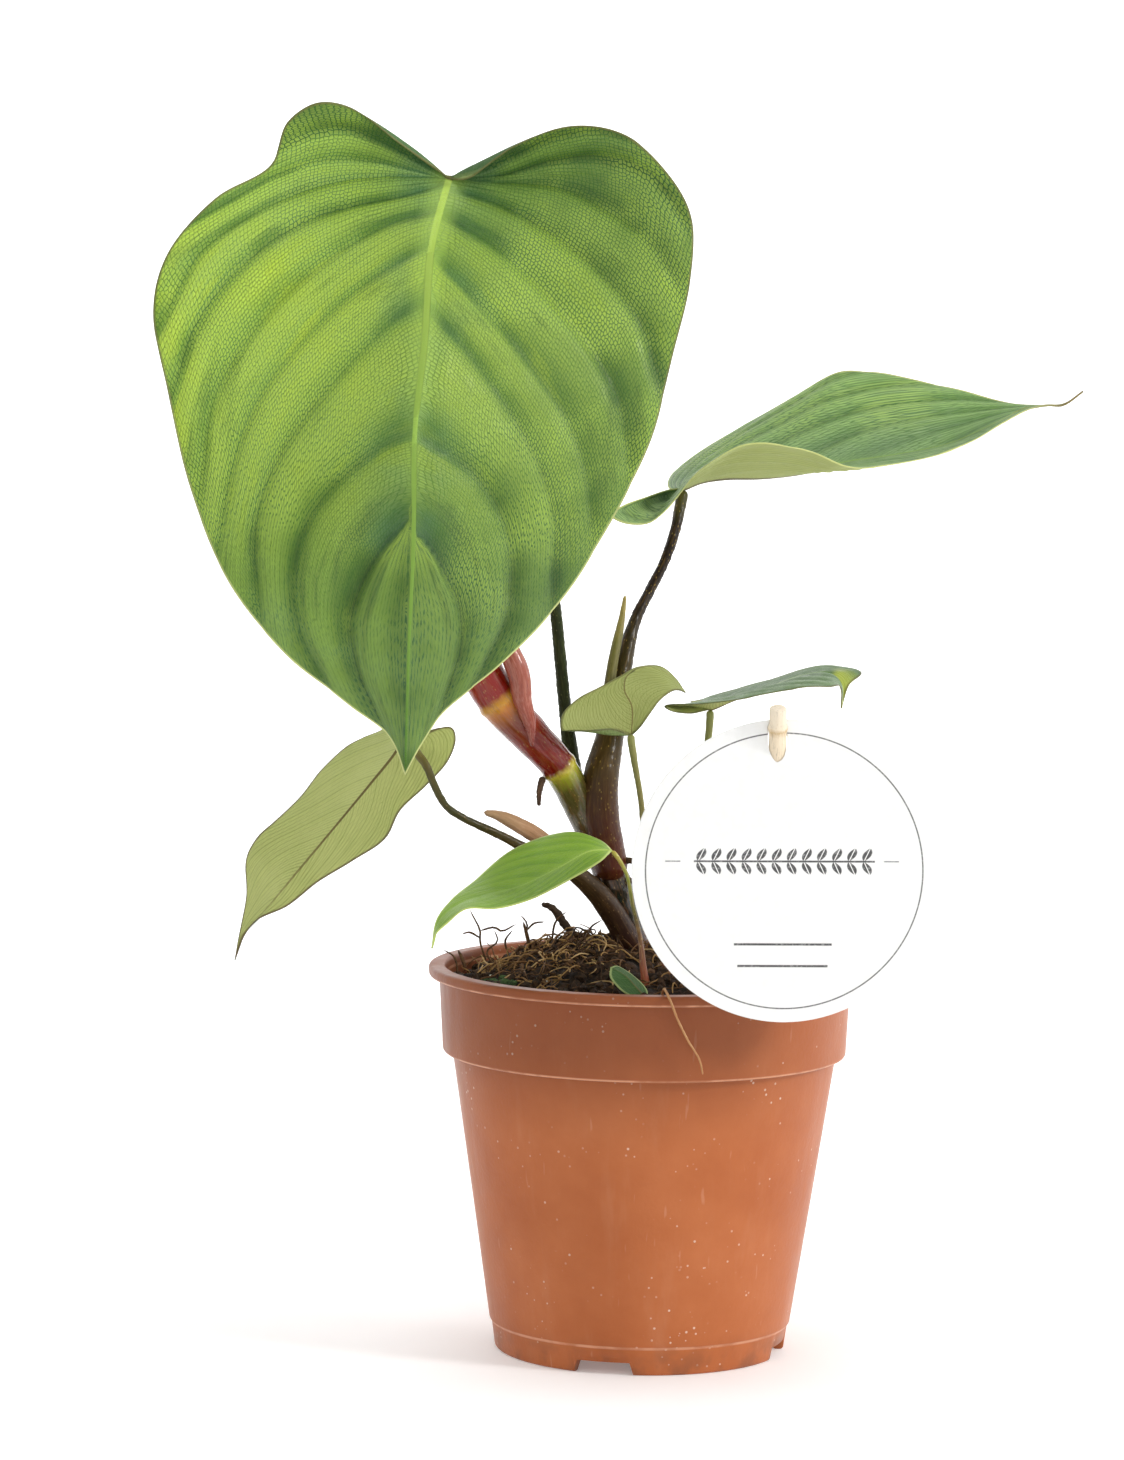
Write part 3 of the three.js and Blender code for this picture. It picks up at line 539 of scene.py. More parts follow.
def sweep_half(leaf, side, rows, columns, midrib, margin):
    """The points of one half, row by row: a row is one side vein from its root to the margin."""
    along = np.linspace(0, 1, rows)
    across = np.linspace(0, 1, columns)[None, :, None]
    past_lobe = np.maximum(0, (along - leaf["lobe"]) / (1 - leaf["lobe"]))
    root_share = past_lobe ** leaf["power"]
    root = place_on(midrib, root_share)
    ahead = unit(place_on(np.gradient(midrib, axis=0), root_share))
    edge = place_on(margin, along)
    reach = np.linalg.norm(edge - root, axis=1)[:, None]
    fade = np.minimum(1, along / leaf["lobe"])[:, None]
    middle = (root + edge) / 2 - ahead * leaf["arch"] * fade * reach
    middle = middle + upper_direction(leaf, side) * leaf["crown"] * reach
    root, middle, edge = root[:, None], middle[:, None], edge[:, None]
    places = root * (1 - across) ** 2 + middle * 2 * across * (1 - across) + edge * across ** 2
    along, reach = np.repeat(along, columns), np.repeat(reach, columns)
    return places.reshape(-1, 3), along, np.tile(across.ravel(), rows), reach

# %% Veins of a plain leaf, and veins given as lines
def swept_veins(leaf, places, along, across, reach, rows, columns):
    """Vein number, distance out and gap between veins, for a leaf whose main veins are its rows."""
    number = leaf["veins"] * (along - leaf["sweep"] * across ** 1.3 + leaf["sweep"])
    grid, numbers = places.reshape(rows, columns, 3), number.reshape(rows, columns)
    down, out = np.gradient(grid, axis=0), np.gradient(grid, axis=1)
    n_down, n_out = np.gradient(numbers, axis=0), np.gradient(numbers, axis=1)
    a, b, c = (down * down).sum(2), (down * out).sum(2), (out * out).sum(2)
    steepness = c * n_down ** 2 - 2 * b * n_down * n_out + a * n_out ** 2
    steepness = steepness / np.maximum(a * c - b * b, 1e-16)
    gap = 1 / np.sqrt(np.maximum(steepness, 1e-6)).ravel()
    return number, across * reach, np.clip(gap, 0.05 * MM, 30 * MM)


def drawn_veins(lines, places):
    """The same for veins given as ordered (x, z) lines in millimetres, from the notch to the tip."""
    flat = places[:, [0, 2]]
    distances, passed, runs = [], [], []
    for controls in lines:
        line = smooth_line(controls, 40)
        line = np.vstack([line, line[-1] + unit(line[-1] - line[-2]) * 0.08])
        distance, share = nearest_on(flat, line)
        spot = place_on(line, share)
        before, after = np.maximum(share - 0.02, 0), np.minimum(share + 0.02, 1)
        ahead = unit(place_on(line, after) - place_on(line, before))
        away = flat - spot
        sign = np.sign(ahead[:, 0] * away[:, 1] - ahead[:, 1] * away[:, 0])
        distances.append(distance)
        passed.append(sign)
        runs.append(np.linalg.norm(spot - line[0], axis=1))
    distances, passed, runs = np.array(distances), np.array(passed), np.array(runs)
    turn = 1 if passed[0].mean() > 0 else -1
    beyond = passed * turn > 0
    last = np.where(beyond.any(0), len(lines) - 1 - np.argmax(beyond[::-1], axis=0), 0)
    last = np.minimum(last, len(lines) - 2)
    every = np.arange(len(places))
    before, after = distances[last, every], distances[last + 1, every]
    share = before / np.maximum(before + after, 1e-9)
    outside = ~beyond[0]
    number = np.where(outside, -before / 0.008, last + share)
    run = runs[last, every] * (1 - share) + runs[last + 1, every] * share
    return number, run, before + after


def vein_depth(leaf, side, number):
    """How deep the crease of the nearest main vein is, from 0 to 1."""
    if "depths" not in leaf:
        return np.ones(len(number))
    depths = leaf["depths"][side]
    return np.interp(number, np.arange(len(depths)) + 0.3, depths)

# %% Grow a blade
def grow_blade(name, leaf, finish, slot, rows, columns):
    """One piece for a whole blade: both halves, both faces and the closed margin."""
    midrib = smooth_line(leaf["midrib"], MIDRIB_STEPS)
    parts = []
    faces = []
    for side in ("left", "right"):
        margin = smooth_line([leaf["midrib"][0], *leaf[side], leaf["midrib"][-1]], MARGIN_STEPS)
        places, along, across, reach = sweep_half(leaf, side, rows, columns, midrib, margin)
        if "drawn" in leaf:
            number, run, gap = drawn_veins(leaf["drawn"][side], places)
        else:
            number, run, gap = swept_veins(leaf, places, along, across, reach, rows, columns)
        rim = nearest_on(places, margin)[0]
        start = len(parts) * rows * columns
        half = grid_faces(rows, columns, start)
        faces += half if side == "left" else [face[::-1] for face in half]
        depth = vein_depth(leaf, side, number)
        parts.append(np.column_stack([places, number, run, gap, rim, depth]))
    data = np.concatenate(parts)
    faces = np.array(faces)

    # Weld the points that the halves share, and drop the faces that this closes.
    _, first, same = np.unique(np.round(data[:, :3], 6), axis=0, return_index=True, return_inverse=True)
    data = data[first]
    faces = same.ravel()[faces]
    kept = []
    for face in faces:
        corners = [int(c) for k, c in enumerate(face) if c != face[k - 1]]
        if len(set(corners)) == len(corners) > 2:
            kept.append(corners)
    places, number, run, gap, rim = data[:, :3], data[:, 3], data[:, 4], data[:, 5], data[:, 6]
    rib, rib_share = nearest_on(places, midrib)
    normals = point_normals(places, kept)

    # Creases: the blade drops sharply at each main vein and swells beside it.
    spot = np.mod(number, 1)
    swell = np.sin(math.pi * spot ** leaf.get("skew", 0.7))
    depth = np.minimum(leaf["pleat"] * gap, leaf.get("deepest", 1.5) * MM)
    near_margin, near_rib = np.clip(rim / (5 * MM), 0.35, 1), np.clip(rib / (6 * MM), 0, 1)
    depth *= near_margin * near_rib * (0.25 + 0.75 * data[:, 7])
    lift = depth * (swell - 0.5)
    rib_width = (1 - rib_share) * leaf["rib"][0] * MM + rib_share * leaf["rib"][1] * MM
    ridge = np.exp(-(rib / rib_width) ** 2)
    middle = places + normals * lift[:, None]
    thin = np.clip(rim / (2 * MM), 0, 1)
    half = LEAF_EDGE_HALF_THICKNESS + (LEAF_HALF_THICKNESS - LEAF_EDGE_HALF_THICKNESS) * thin
    upper = middle + normals * (half + ridge * rib_width * 0.25)[:, None]
    lower = middle - normals * (half + ridge * rib_width * 0.8)[:, None]

    count = len(places)
    shell = kept + [[c + count for c in reversed(face)] for face in kept]
    edges = {(face[k - 1], face[k]) for face in kept for k in range(len(face))}
    shell += [[b, a, a + count, b + count] for a, b in edges if (b, a) not in edges]
    marks = {
        "vein": np.tile(np.column_stack([number, run / MM, np.maximum(gap / MM, 0.05)]), (2, 1)),
        "rim": np.tile(rim / MM, 2), "rib": np.tile(rib / rib_width, 2),
        # The swell mark carries the crease shape to the finish, which paints shade in it and light on
        # the swellings.
        "swell": np.tile(1 - (1 - swell) * (0.3 + 0.7 * data[:, 7]), 2),
        "rib_share": np.tile(rib_share, 2), "upper": np.repeat([1.0, 0.0], count),
    }
    piece = add_piece(name, np.vstack([upper, lower]), shell, finish, slot, [leaf["node"]], marks)
    print(name, count, "points a side, gap between veins up to", round(float(gap.max() / MM), 1), "mm")
    return piece


def point_normals(places, faces):
    """Normals of a mesh's points, each the sum over its faces."""
    normals = np.zeros_like(places)
    triangles = []
    for face in faces:
        triangles.append(face[:3])
        if len(face) == 4:
            triangles.append([face[0], face[2], face[3]])
    triangles = np.array(triangles)
    a, b, c = places[triangles[:, 0]], places[triangles[:, 1]], places[triangles[:, 2]]
    turned_away = np.cross(b - a, c - a)
    for k in range(3):
        np.add.at(normals, triangles[:, k], turned_away)
    return unit(normals)

# %% [markdown]
# ## Leaf finish
# The upper face of each leaf shows a net: pale green cells a millimetre wide in rows between fine
# veins, with a waxy gloss. Painted shade darkens the creases and painted light brightens the
# swellings. The underside is pale and dull. A leaf texture could be painted by hand, but a net built
# from the stored vein marks always runs with the veins. Where veins crowd together the net halves
# its rows, so cells keep their size.

# %% Leaf net and leaf finish
NET_ROW_MM = 0.85
NET_CELL_MM = 1.05


def net_of_veins(skin, number, run, gap):
    """Two values from 0 on a fine vein to 1 beside it: the net of cells, and the side veins alone."""
    rows = skin.math("LOGARITHM", skin.math("DIVIDE", gap, NET_ROW_MM), 2.0)
    level = skin.math("FLOOR", rows)
    blend = skin.minus(rows, level)
    nets, lines = [], []
    for extra in (0, 1):
        count = skin.math("POWER", 2.0, skin.plus(level, extra))
        where = skin.node("CombineXYZ", 0, {0: skin.times(number, count),
            1: skin.math("DIVIDE", run, NET_CELL_MM)})
        made = skin.tree.nodes.new("ShaderNodeTexVoronoi")
        made.voronoi_dimensions = "2D"
        made.feature = "DISTANCE_TO_EDGE"
        skin.feed(made.inputs["Vector"], where)
        made.inputs["Scale"].default_value = 1
        made.inputs["Randomness"].default_value = 0.55
        stripe = skin.math("PINGPONG", skin.times(number, count), 0.5)
        lines.append(skin.fade(stripe, 0.0, 0.3))
        nets.append(skin.fade(made.outputs["Distance"], 0.02, 0.17))
    return skin.blend(blend, *nets), skin.blend(blend, *lines)


def leaf_finish(name, look):
    skin = Finish(name, Specular_IOR_Level=look["specular"], Sheen_Weight=0.04, Sheen_Roughness=0.45)
    number, run, gap = [skin.axis(k, skin.read("vein", "Vector")) for k in range(3)]
    net, lines = net_of_veins(skin, number, run, gap)
    on_net, on_line = skin.minus(1.0, net), skin.minus(1.0, lines)
    flow = skin.node("CombineXYZ", 0, {0: skin.times(number, 2.6), 1: skin.times(run, 0.035)})
    bands = skin.noise(1.0, flow, detail=5, rough=0.6)
    clouds = skin.noise(38, detail=3)
    rim, rib, rib_share = [skin.read(mark) for mark in ("rim", "rib", "rib_share")]
    outside = skin.times(skin.fade(number, 0.2, -0.15), look["notch"])
    up = skin.axis(2)

    # The upper face: painted shade in the creases and painted light on the swellings, clouds and bands,
    # then the change of tone over the whole leaf, which on the large leaf paints shade over its right
    # half.
    slope = tuple(0.4 * a + 0.6 * b for a, b in zip(tint(look["valley"]), tint(look["flank"])))
    top = skin.ramp(skin.read("swell"), [(0.0, look["valley"]), (0.2, slope), (0.5, look["flank"]),
        (0.92, look["crest"])])
    top = skin.layers(top,
        (skin.times(skin.fade(clouds, 0.4, 0.66), 0.45), look["patch"]),
        (skin.fade(bands, 0.52, 0.72, 0.0, look["bands"]), look["band_light"]),
        (skin.fade(bands, 0.48, 0.3, 0.0, look["bands"]), look["band_dark"]),
        (outside, look["band_dark"]))
    # On the large leaf the far tone is painted shade: it multiplies its right half darker.
    far = skin.times(skin.fade(skin.axis(0), *[x * MM for x in look["tone_x"]]), look["sideways"])
    low = skin.times(skin.fade(up, *[z * MM for z in look["tone_z"]]), look["lowered"])
    top = skin.mix(far, top, look["far_tone"], look["tone_blend"])
    top = skin.mix(skin.fade(up, 0.292, 0.324), top, look["high_tone"], "MULTIPLY")
    top = skin.mix(low, top, look["low_tone"], look["tone_blend"])

    # The net of fine veins, its pale cells, the midrib and the tip.
    net_strength = skin.times(skin.fade(up, 0.2, 0.24, 0.5, 1.0), look["net"])
    cloudy = skin.fade(clouds, 0.35, 0.65, 0.1, look["cell"])
    spotted = skin.times(cloudy, skin.fade(run, 6.0, 24.0, 0.1, 1.0), net_strength)
    spotted = skin.math("MULTIPLY", spotted, 1.6, clamp=True)
    rib_line = skin.fade(rib, 1.15, 0.75)
    rib_glow = skin.fade(rib_share, 0.75, 0.1, 0.0, 0.5)
    rib_stops = [(0.0, look["rib_start"]), (0.55, look["rib_middle"]), (0.95, look["rib_end"])]
    tip_share = skin.fade(rib_share, look["tip_from"], look["tip_from"] + 0.035)
    top = skin.layers(top,
        (skin.times(on_net, net_strength), look["vein"]),
        (skin.times(on_line, skin.times(net_strength, 0.8)), look["vein"]),
        (skin.times(skin.fade(net, 0.35, 1.0), spotted), look["cell_colour"]),
        (skin.times(skin.fade(rib, 7.0, 1.0), rib_glow), look["rib_side"]),
        (rib_line, skin.ramp(rib_share, rib_stops)),
        (skin.times(tip_share, skin.fade(rib, 40.0, 6.0), look["tip"]), look["tip_colour"]))

    # The underside: pale, with its veins a little darker.
    from_vein = skin.apart(skin.math("FRACT", skin.plus(number, 0.5)), 0.5)
    under = skin.layers(look["under"],
        (skin.times(on_net, 0.2), look["under_vein"]),
        (skin.times(on_line, 0.55), look["under_vein"]),
        (skin.fade(clouds, 0.35, 0.7, 0.0, 0.5), look["under_patch"]),
        (outside, look["band_dark"]),
        (skin.times(skin.fade(skin.times(from_vein, gap), 0.35, 0.05), 0.3), look["under_vein"]),
        (skin.times(rib_line, skin.fade(rib_share, 1.0, 0.3, 0.3, 1.0)), look["under_rib"]))

    faced = skin.fade(skin.read("upper"), 0.35, 0.65)
    edge_stops = [(0.3, look["edge"]), (0.8, look["edge_end"]),
        (0.93, look.get("edge_tip", look["edge_end"]))]
    pale_edge = skin.times(skin.fade(rim, 0.7, 0.25), look["edge_strength"])
    colour = skin.mix(pale_edge, skin.mix(faced, under, top), skin.ramp(rib_share, edge_stops))
    waxy = skin.fade(skin.noise(300, detail=2), 0.3, 0.7, look["gloss"] - 0.05, look["gloss"] + 0.1)
    return skin.finish(colour, skin.blend(faced, 0.68, waxy), skin.relief(net, 0.00022, look["relief"]))

# %% Shapes of the leaves, in millimetres
large_leaf = {
    "node": "large_leaf_blade",
    "midrib": [[-56, -51, 323], [-60, -74, 304], [-61, -87, 281], [-63, -94, 258], [-63, -95, 229],
        [-64, -90, 202], [-65, -76, 167]],
    "left": [[-69, -62, 332], [-81, -68, 341], [-90, -71, 342], [-98, -70, 337], [-102, -69, 326],
        [-116, -76, 317], [-128, -85, 302], [-131, -89, 288], [-127, -90, 267], [-121, -89, 242],
        [-111, -88, 218], [-96, -85, 199], [-80, -80, 186], [-69, -78, 177]],
    "right": [[-51, -57, 323], [-38, -63, 332], [-24, -65, 337], [-10, -63, 335], [1, -59, 326],
        [8, -57, 314], [8, -59, 297], [4, -61, 279], [-2, -65, 255], [-12, -69, 234], [-25, -73, 213],
        [-41, -78, 196], [-55, -78, 184], [-61, -77, 175]],
    "lobe": 0.3, "power": 1.25, "arch": 0.12, "crown": 0.04, "pleat": 0.17, "deepest": 2.2,
    "rib": (1.0, 0.2), "skew": 0.62,
    "depths": {
        "left": [0.9, 0.7, 0.7, 1.0, 0.35, 0.45, 0.4, 0.75, 1.0, 0.2],
        "right": [0.9, 1.0, 0.6, 1.0, 0.7, 0.4, 0.5, 1.0, 1.0, 0.2],
    },
}
midrib_line = [(-55, 323), (-59, 310), (-61, 294), (-62, 276), (-63, 257), (-64, 232), (-65, 200),
    (-65, 167)]
large_leaf["drawn"] = {
    "left": [
        [(-57, 323), (-68, 329), (-76, 333), (-84, 335), (-93, 333), (-97, 331)],
        [(-57, 323), (-66, 325), (-77, 327), (-89, 327), (-101, 323), (-111, 317)],
        [(-57, 323), (-74, 323), (-87, 321), (-104, 314), (-119, 303), (-126, 290)],
        [(-58, 321), (-68, 318), (-82, 315), (-95, 310), (-110, 298), (-120, 284), (-125, 268)],
        [(-58, 314), (-68, 312), (-81, 305), (-94, 295), (-107, 280), (-115, 265), (-117, 249)],
        [(-59, 306), (-68, 301), (-81, 292), (-94, 279), (-105, 263), (-110, 248), (-113, 231)],
        [(-61, 291), (-68, 287), (-79, 276), (-92, 260), (-101, 244), (-104, 229), (-103, 215)],
        [(-63, 257), (-69, 255), (-81, 246), (-90, 235), (-94, 220), (-92, 205), (-85, 190)],
        [(-65, 234), (-71, 227), (-76, 218), (-79, 208), (-77, 194), (-72, 183)],
        midrib_line,
    ],
    "right": [
        [(-54, 323), (-47, 325), (-37, 330), (-28, 334), (-16, 336), (-6, 333)],
        [(-54, 323), (-42, 324), (-28, 328), (-14, 329), (-3, 325), (4, 316)],
        [(-54, 323), (-42, 322), (-27, 321), (-14, 315), (-3, 307), (5, 295)],
        [(-55, 320), (-42, 316), (-26, 307), (-13, 296), (-5, 286), (-1, 274)],
        [(-56, 313), (-42, 304), (-26, 289), (-16, 276), (-10, 264), (-8, 251)],
        [(-58, 301), (-47, 290), (-35, 276), (-25, 262), (-19, 248), (-17, 232)],
        [(-60, 289), (-49, 277), (-39, 263), (-31, 249), (-27, 235), (-27, 219)],
        [(-63, 257), (-57, 253), (-48, 247), (-41, 237), (-38, 227), (-39, 209), (-45, 196)],
        [(-64, 233), (-59, 228), (-55, 221), (-51, 212), (-51, 200), (-55, 187)],
        midrib_line,
    ],
}

right_leaf = {
    "node": "right_leaf_blade",
    "midrib": [[9, 30, 238], [14, 33, 240], [21, 36, 241], [31, 42, 241], [42, 47, 242], [57, 54, 245],
        [72, 62, 247], [87, 72, 250], [101, 80, 256], [110, 88, 260], [116, 90, 261], [121, 94, 261],
        [127, 97, 265]],
    "left": [[5, 24, 238], [-2, 16, 236], [-8, 10, 234], [-11.5, 7, 231.6], [-8, 7, 229.4],
    [-1, 8.5, 229.2],
        [3.6, 10, 232.6], [6.5, 12, 236], [12, 10, 243], [17, 8, 247], [24, 8, 251], [31, 10, 252],
        [38, 14, 251],
        [45, 20, 249], [55, 27, 245], [66, 36, 245], [79, 48, 247], [92, 62, 251], [102, 76, 256],
        [111, 86, 260], [116, 89.5, 261], [121, 93.5, 261]],
    "right": [[7, 36, 237], [5, 42, 238], [6, 48, 241], [11, 54, 245], [22, 62, 252], [33, 68, 258],
        [45, 75, 265], [55, 80, 270], [64, 84, 270], [76, 87, 268], [90, 90, 265], [102, 91, 262],
        [109, 90.5, 261], [116, 90.5, 261], [121, 94.5, 261]],
    "lobe": 0.3, "power": 1.2, "arch": 0.1, "crown": 0.02, "pleat": 0.2, "deepest": 1.2,
    "rib": (0.7, 0.3), "veins": 7, "sweep": 0.5,
}
left_leaf = {
    "node": "left_leaf_blade",
    "midrib": [[-67, -18, 171], [-70, -16, 166], [-76, -12, 158], [-86, -4, 145], [-97, 4, 131],
        [-107, 14, 118], [-113, 18, 111], [-114, 19, 108], [-115, 20, 104]],
    "left": [[-63, -18, 171], [-60, -17, 173], [-57, -16, 174], [-54, -16, 174], [-53, -16, 171],
        [-55, -17, 165], [-61, -17, 158], [-68, -16, 151], [-72, -13, 143], [-81, -7, 136],
        [-91, 0, 129],
        [-100, 8, 121], [-109, 14, 116], [-112.5, 17.5, 111], [-113.6, 18.6, 108]],
    "right": [[-65, -12, 174], [-66, -6, 177], [-70, -1, 177], [-73, 2, 172], [-79, 4, 169],
    [-84, 6, 166],
        [-91, 9, 159], [-97, 12, 151], [-104, 15, 144], [-109, 18, 139], [-112, 20, 133],
        [-112, 21, 122],
        [-113.5, 19.5, 113], [-114.4, 19.4, 108]],
    "lobe": 0.2, "power": 1.2, "arch": 0.08, "crown": 0.04, "pleat": 0.05, "deepest": 0.35,
    "rib": (0.4, 0.16), "veins": 9, "sweep": 0.3,
}
young_leaf = {
    "node": "young_leaf_blade",
    "midrib": [[-10, -26, 142], [-16, -30, 142], [-24, -34, 138], [-35, -38, 133], [-44, -42, 131],
        [-51, -46, 129], [-56, -50, 125], [-58, -52, 118]],
    "left": [[-13, -20, 144], [-20, -18, 146], [-28, -20, 145], [-38, -24, 141], [-47, -32, 134],
        [-53, -42, 130], [-57, -49, 125]],
    "right": [[-13, -34, 140], [-21, -42, 136], [-32, -48, 131], [-41, -52, 129], [-49, -54, 129],
        [-54, -54, 125], [-57, -54, 122]],
    "lobe": 0.05, "power": 1.1, "arch": 0.05, "crown": 0.06, "pleat": 0.04, "deepest": 0.25,
    "rib": (0.4, 0.18), "veins": 8, "sweep": 0.45,
}
centre_leaf = {
    "node": "centre_leaf_blade",
    "midrib": [[-5, -9, 172], [-5, -10, 180], [-7, -8, 184], [-6, -3, 188], [-1, 0, 190], [5, 2, 188],
        [10, 2, 183]],
    "left": [[-10, -12, 174], [-16, -16, 174], [-22, -18, 174], [-24, -18, 174], [-24, -16, 178],
        [-20, -12, 182], [-14, -8, 185], [-8, -4, 188], [-3, 2, 190], [3, 4, 190], [7, 4, 187]],
    "right": [[-3, -10, 174], [0, -10, 178], [3, -9, 182], [6, -6, 184], [8, -2, 184]],
    "lobe": 0.2, "power": 1.1, "arch": 0.06, "crown": 0.05, "pleat": 0.06, "deepest": 0.4,
    "rib": (0.28, 0.08), "veins": 8, "sweep": 0.6,
}
side_leaf = {
    "node": "side_leaf_blade",
    "midrib": [[17, 6, 178], [24, 8, 181], [34, 12, 184], [44, 18, 187], [51, 22, 187], [54, 20, 184],
        [54, 16, 178]],
    "left": [[11, -6, 178], [6, -10, 179], [4, -6, 180], [11, -12, 181], [20, -14, 182], [30, -14, 184],
        [41, -12, 186], [50, -6, 186], [53, 4, 185]],
    "right": [[15, 22, 179], [12, 30, 178], [15, 36, 178], [25, 36, 181], [36, 38, 184], [49, 38, 188],
        [56, 34, 188], [60, 28, 187], [56, 20, 184]],
    "lobe": 0.25, "power": 1.1, "arch": 0.05, "crown": 0.05, "pleat": 0.08, "deepest": 0.6,
    "rib": (0.4, 0.18), "veins": 8, "sweep": 0.3,
}
sprout = {
    "node": "sprout_leaf",
    "midrib": [[0, -45, 104], [-3, -45, 107], [-6, -44, 110], [-10, -41, 112]],
    "left": [[-4, -48, 105], [-7, -49, 107], [-10, -46, 110]],
    "right": [[0, -42, 106], [-3, -39, 109], [-8, -38, 112]],
    "lobe": 0.1, "power": 1.0, "arch": 0.04, "crown": 0.05, "pleat": 0.05, "deepest": 0.3,
    "rib": (0.3, 0.15), "veins": 5, "sweep": 0.2,
}

# %% Leaf colours
# valley, flank and crest paint shade and light across each crease, from dark in the crease to bright on
# the swelling.
mature_look = {
    "valley": (38, 76, 26), "flank": (112, 153, 46), "crest": (196, 224, 76), "relief": 0.55,
    # far_tone here is painted shade over the large leaf's right half.
    "patch": (120, 168, 110), "high_tone": (0.66, 0.76, 1.15, 1), "far_tone": (0.32, 0.39, 0.74, 1),
    "low_tone": (0.38, 0.47, 0.76, 1), "tone_blend": "MULTIPLY",
    "band_light": (198, 222, 58), "band_dark": (46, 94, 50), "notch": 0.85, "sideways": 1.0,
    "lowered": 1.0,
    "tone_x": (-118, 2), "tone_z": (280, 212), "vein": (56, 100, 28), "cell_colour": (178, 208, 70),
    "cell": 0.65, "net": 0.6, "rib_side": (166, 200, 88), "rib_start": (184, 214, 92),
    "rib_middle": (140, 178, 72), "rib_end": (92, 136, 46), "tip_colour": (62, 104, 12),
    "under": (158, 174, 104), "under_vein": (128, 148, 78), "under_patch": (146, 160, 96),
    "under_rib": (110, 104, 60), "edge": (112, 112, 62), "edge_end": (222, 226, 150), "gloss": 0.42,
    "specular": 0.3, "bands": 0.6, "tip_from": 0.95, "tip": 0.7, "edge_strength": 0.85,
}
plain_look = mature_look | {"high_tone": (1, 1, 1, 1), "tone_blend": "MIX", "sideways": 0.6,
    "lowered": 0.55}
sage_look = plain_look | {
    "valley": (30, 62, 26), "flank": (88, 130, 66), "crest": (148, 184, 112), "sideways": 0.35,
    "lowered": 0.4,
    "patch": (130, 156, 124), "far_tone": (116, 152, 78), "low_tone": (134, 156, 122), "notch": 0.0,
    "band_light": (158, 186, 104), "band_dark": (78, 112, 62), "net": 0.6,
    "tone_x": (0, 90), "tone_z": (266, 240), "cell_colour": (166, 196, 92), "cell": 0.6,
    "rib_start": (140, 172, 92), "rib_middle": (130, 162, 84), "rib_end": (150, 170, 92),
    "under": (174, 184, 108), "under_vein": (146, 158, 88), "under_patch": (160, 170, 100),
    "edge": (204, 210, 134), "edge_end": (206, 210, 136), "rib_side": (132, 164, 96),
    "tip": 1.0, "tip_colour": (136, 128, 62), "tip_from": 0.93, "specular": 0.4,
    "edge_tip": (112, 94, 52),
}
pale_look = plain_look | {
    "under": (182, 190, 112), "under_vein": (132, 144, 72), "under_patch": (190, 196, 122),
    "under_rib": (104, 92, 50), "edge": (88, 74, 50), "edge_end": (84, 60, 44), "notch": 0.0,
    "far_tone": (108, 150, 76), "tone_x": (-120, -40), "tone_z": (180, 110), "tip": 0.0,
}
centre_look = pale_look | {
    "valley": (84, 102, 54), "flank": (104, 124, 68), "crest": (120, 138, 80), "patch": (116, 130, 76),
    "band_light": (130, 146, 84), "band_dark": (84, 104, 56), "edge_strength": 0.5, "net": 0.3,
    "under": (158, 165, 97), "under_patch": (166, 172, 106),
    "tip_colour": (84, 70, 44), "tip": 1.0, "cell": 0.2, "far_tone": (112, 128, 70),
    "low_tone": (112, 128, 70),
    "under_rib": (118, 110, 60),
}
side_look = pale_look | {
    "valley": (58, 86, 48), "flank": (92, 124, 78), "crest": (112, 144, 92), "patch": (122, 146, 114),
    "band_light": (140, 164, 110), "band_dark": (70, 98, 60), "edge_strength": 0.55,
    "tip_colour": (172, 184, 84), "tip": 1.0, "tip_from": 0.76, "cell": 0.3, "far_tone": (84, 116, 70),
}
young_look = plain_look | {
    "valley": (100, 144, 24), "flank": (116, 158, 28), "crest": (132, 172, 38),
    "patch": (126, 166, 34), "far_tone": (158, 192, 66), "low_tone": (104, 148, 22),
    "band_light": (150, 186, 58), "band_dark": (100, 144, 24), "notch": 0.0, "bands": 0.5,
    "tone_x": (-30, -60), "tone_z": (146, 118), "vein": (116, 166, 44), "cell_colour": (196, 224, 110),
    "net": 0.15, "rib_side": (150, 186, 66), "rib_start": (176, 204, 90), "rib_end": (150, 186, 66),
    "specular": 0.45,
    "under": (176, 204, 96), "under_vein": (150, 182, 70), "under_patch": (164, 196, 84),
    "under_rib": (176, 196, 96), "edge": (206, 220, 128), "edge_end": (190, 206, 110), "tip": 0.3,
}
sprout_look = plain_look | {
    "valley": (40, 74, 30), "flank": (62, 100, 44), "crest": (86, 128, 60),
    "patch": (70, 110, 52), "far_tone": (64, 100, 44), "low_tone": (52, 90, 40),
    "band_light": (92, 132, 66), "band_dark": (40, 74, 30), "notch": 0.0,
    "under": (62, 100, 46), "under_vein": (84, 118, 60), "under_patch": (48, 84, 36),
    "edge": (172, 188, 120), "edge_end": (172, 188, 120), "net": 0.3,
}

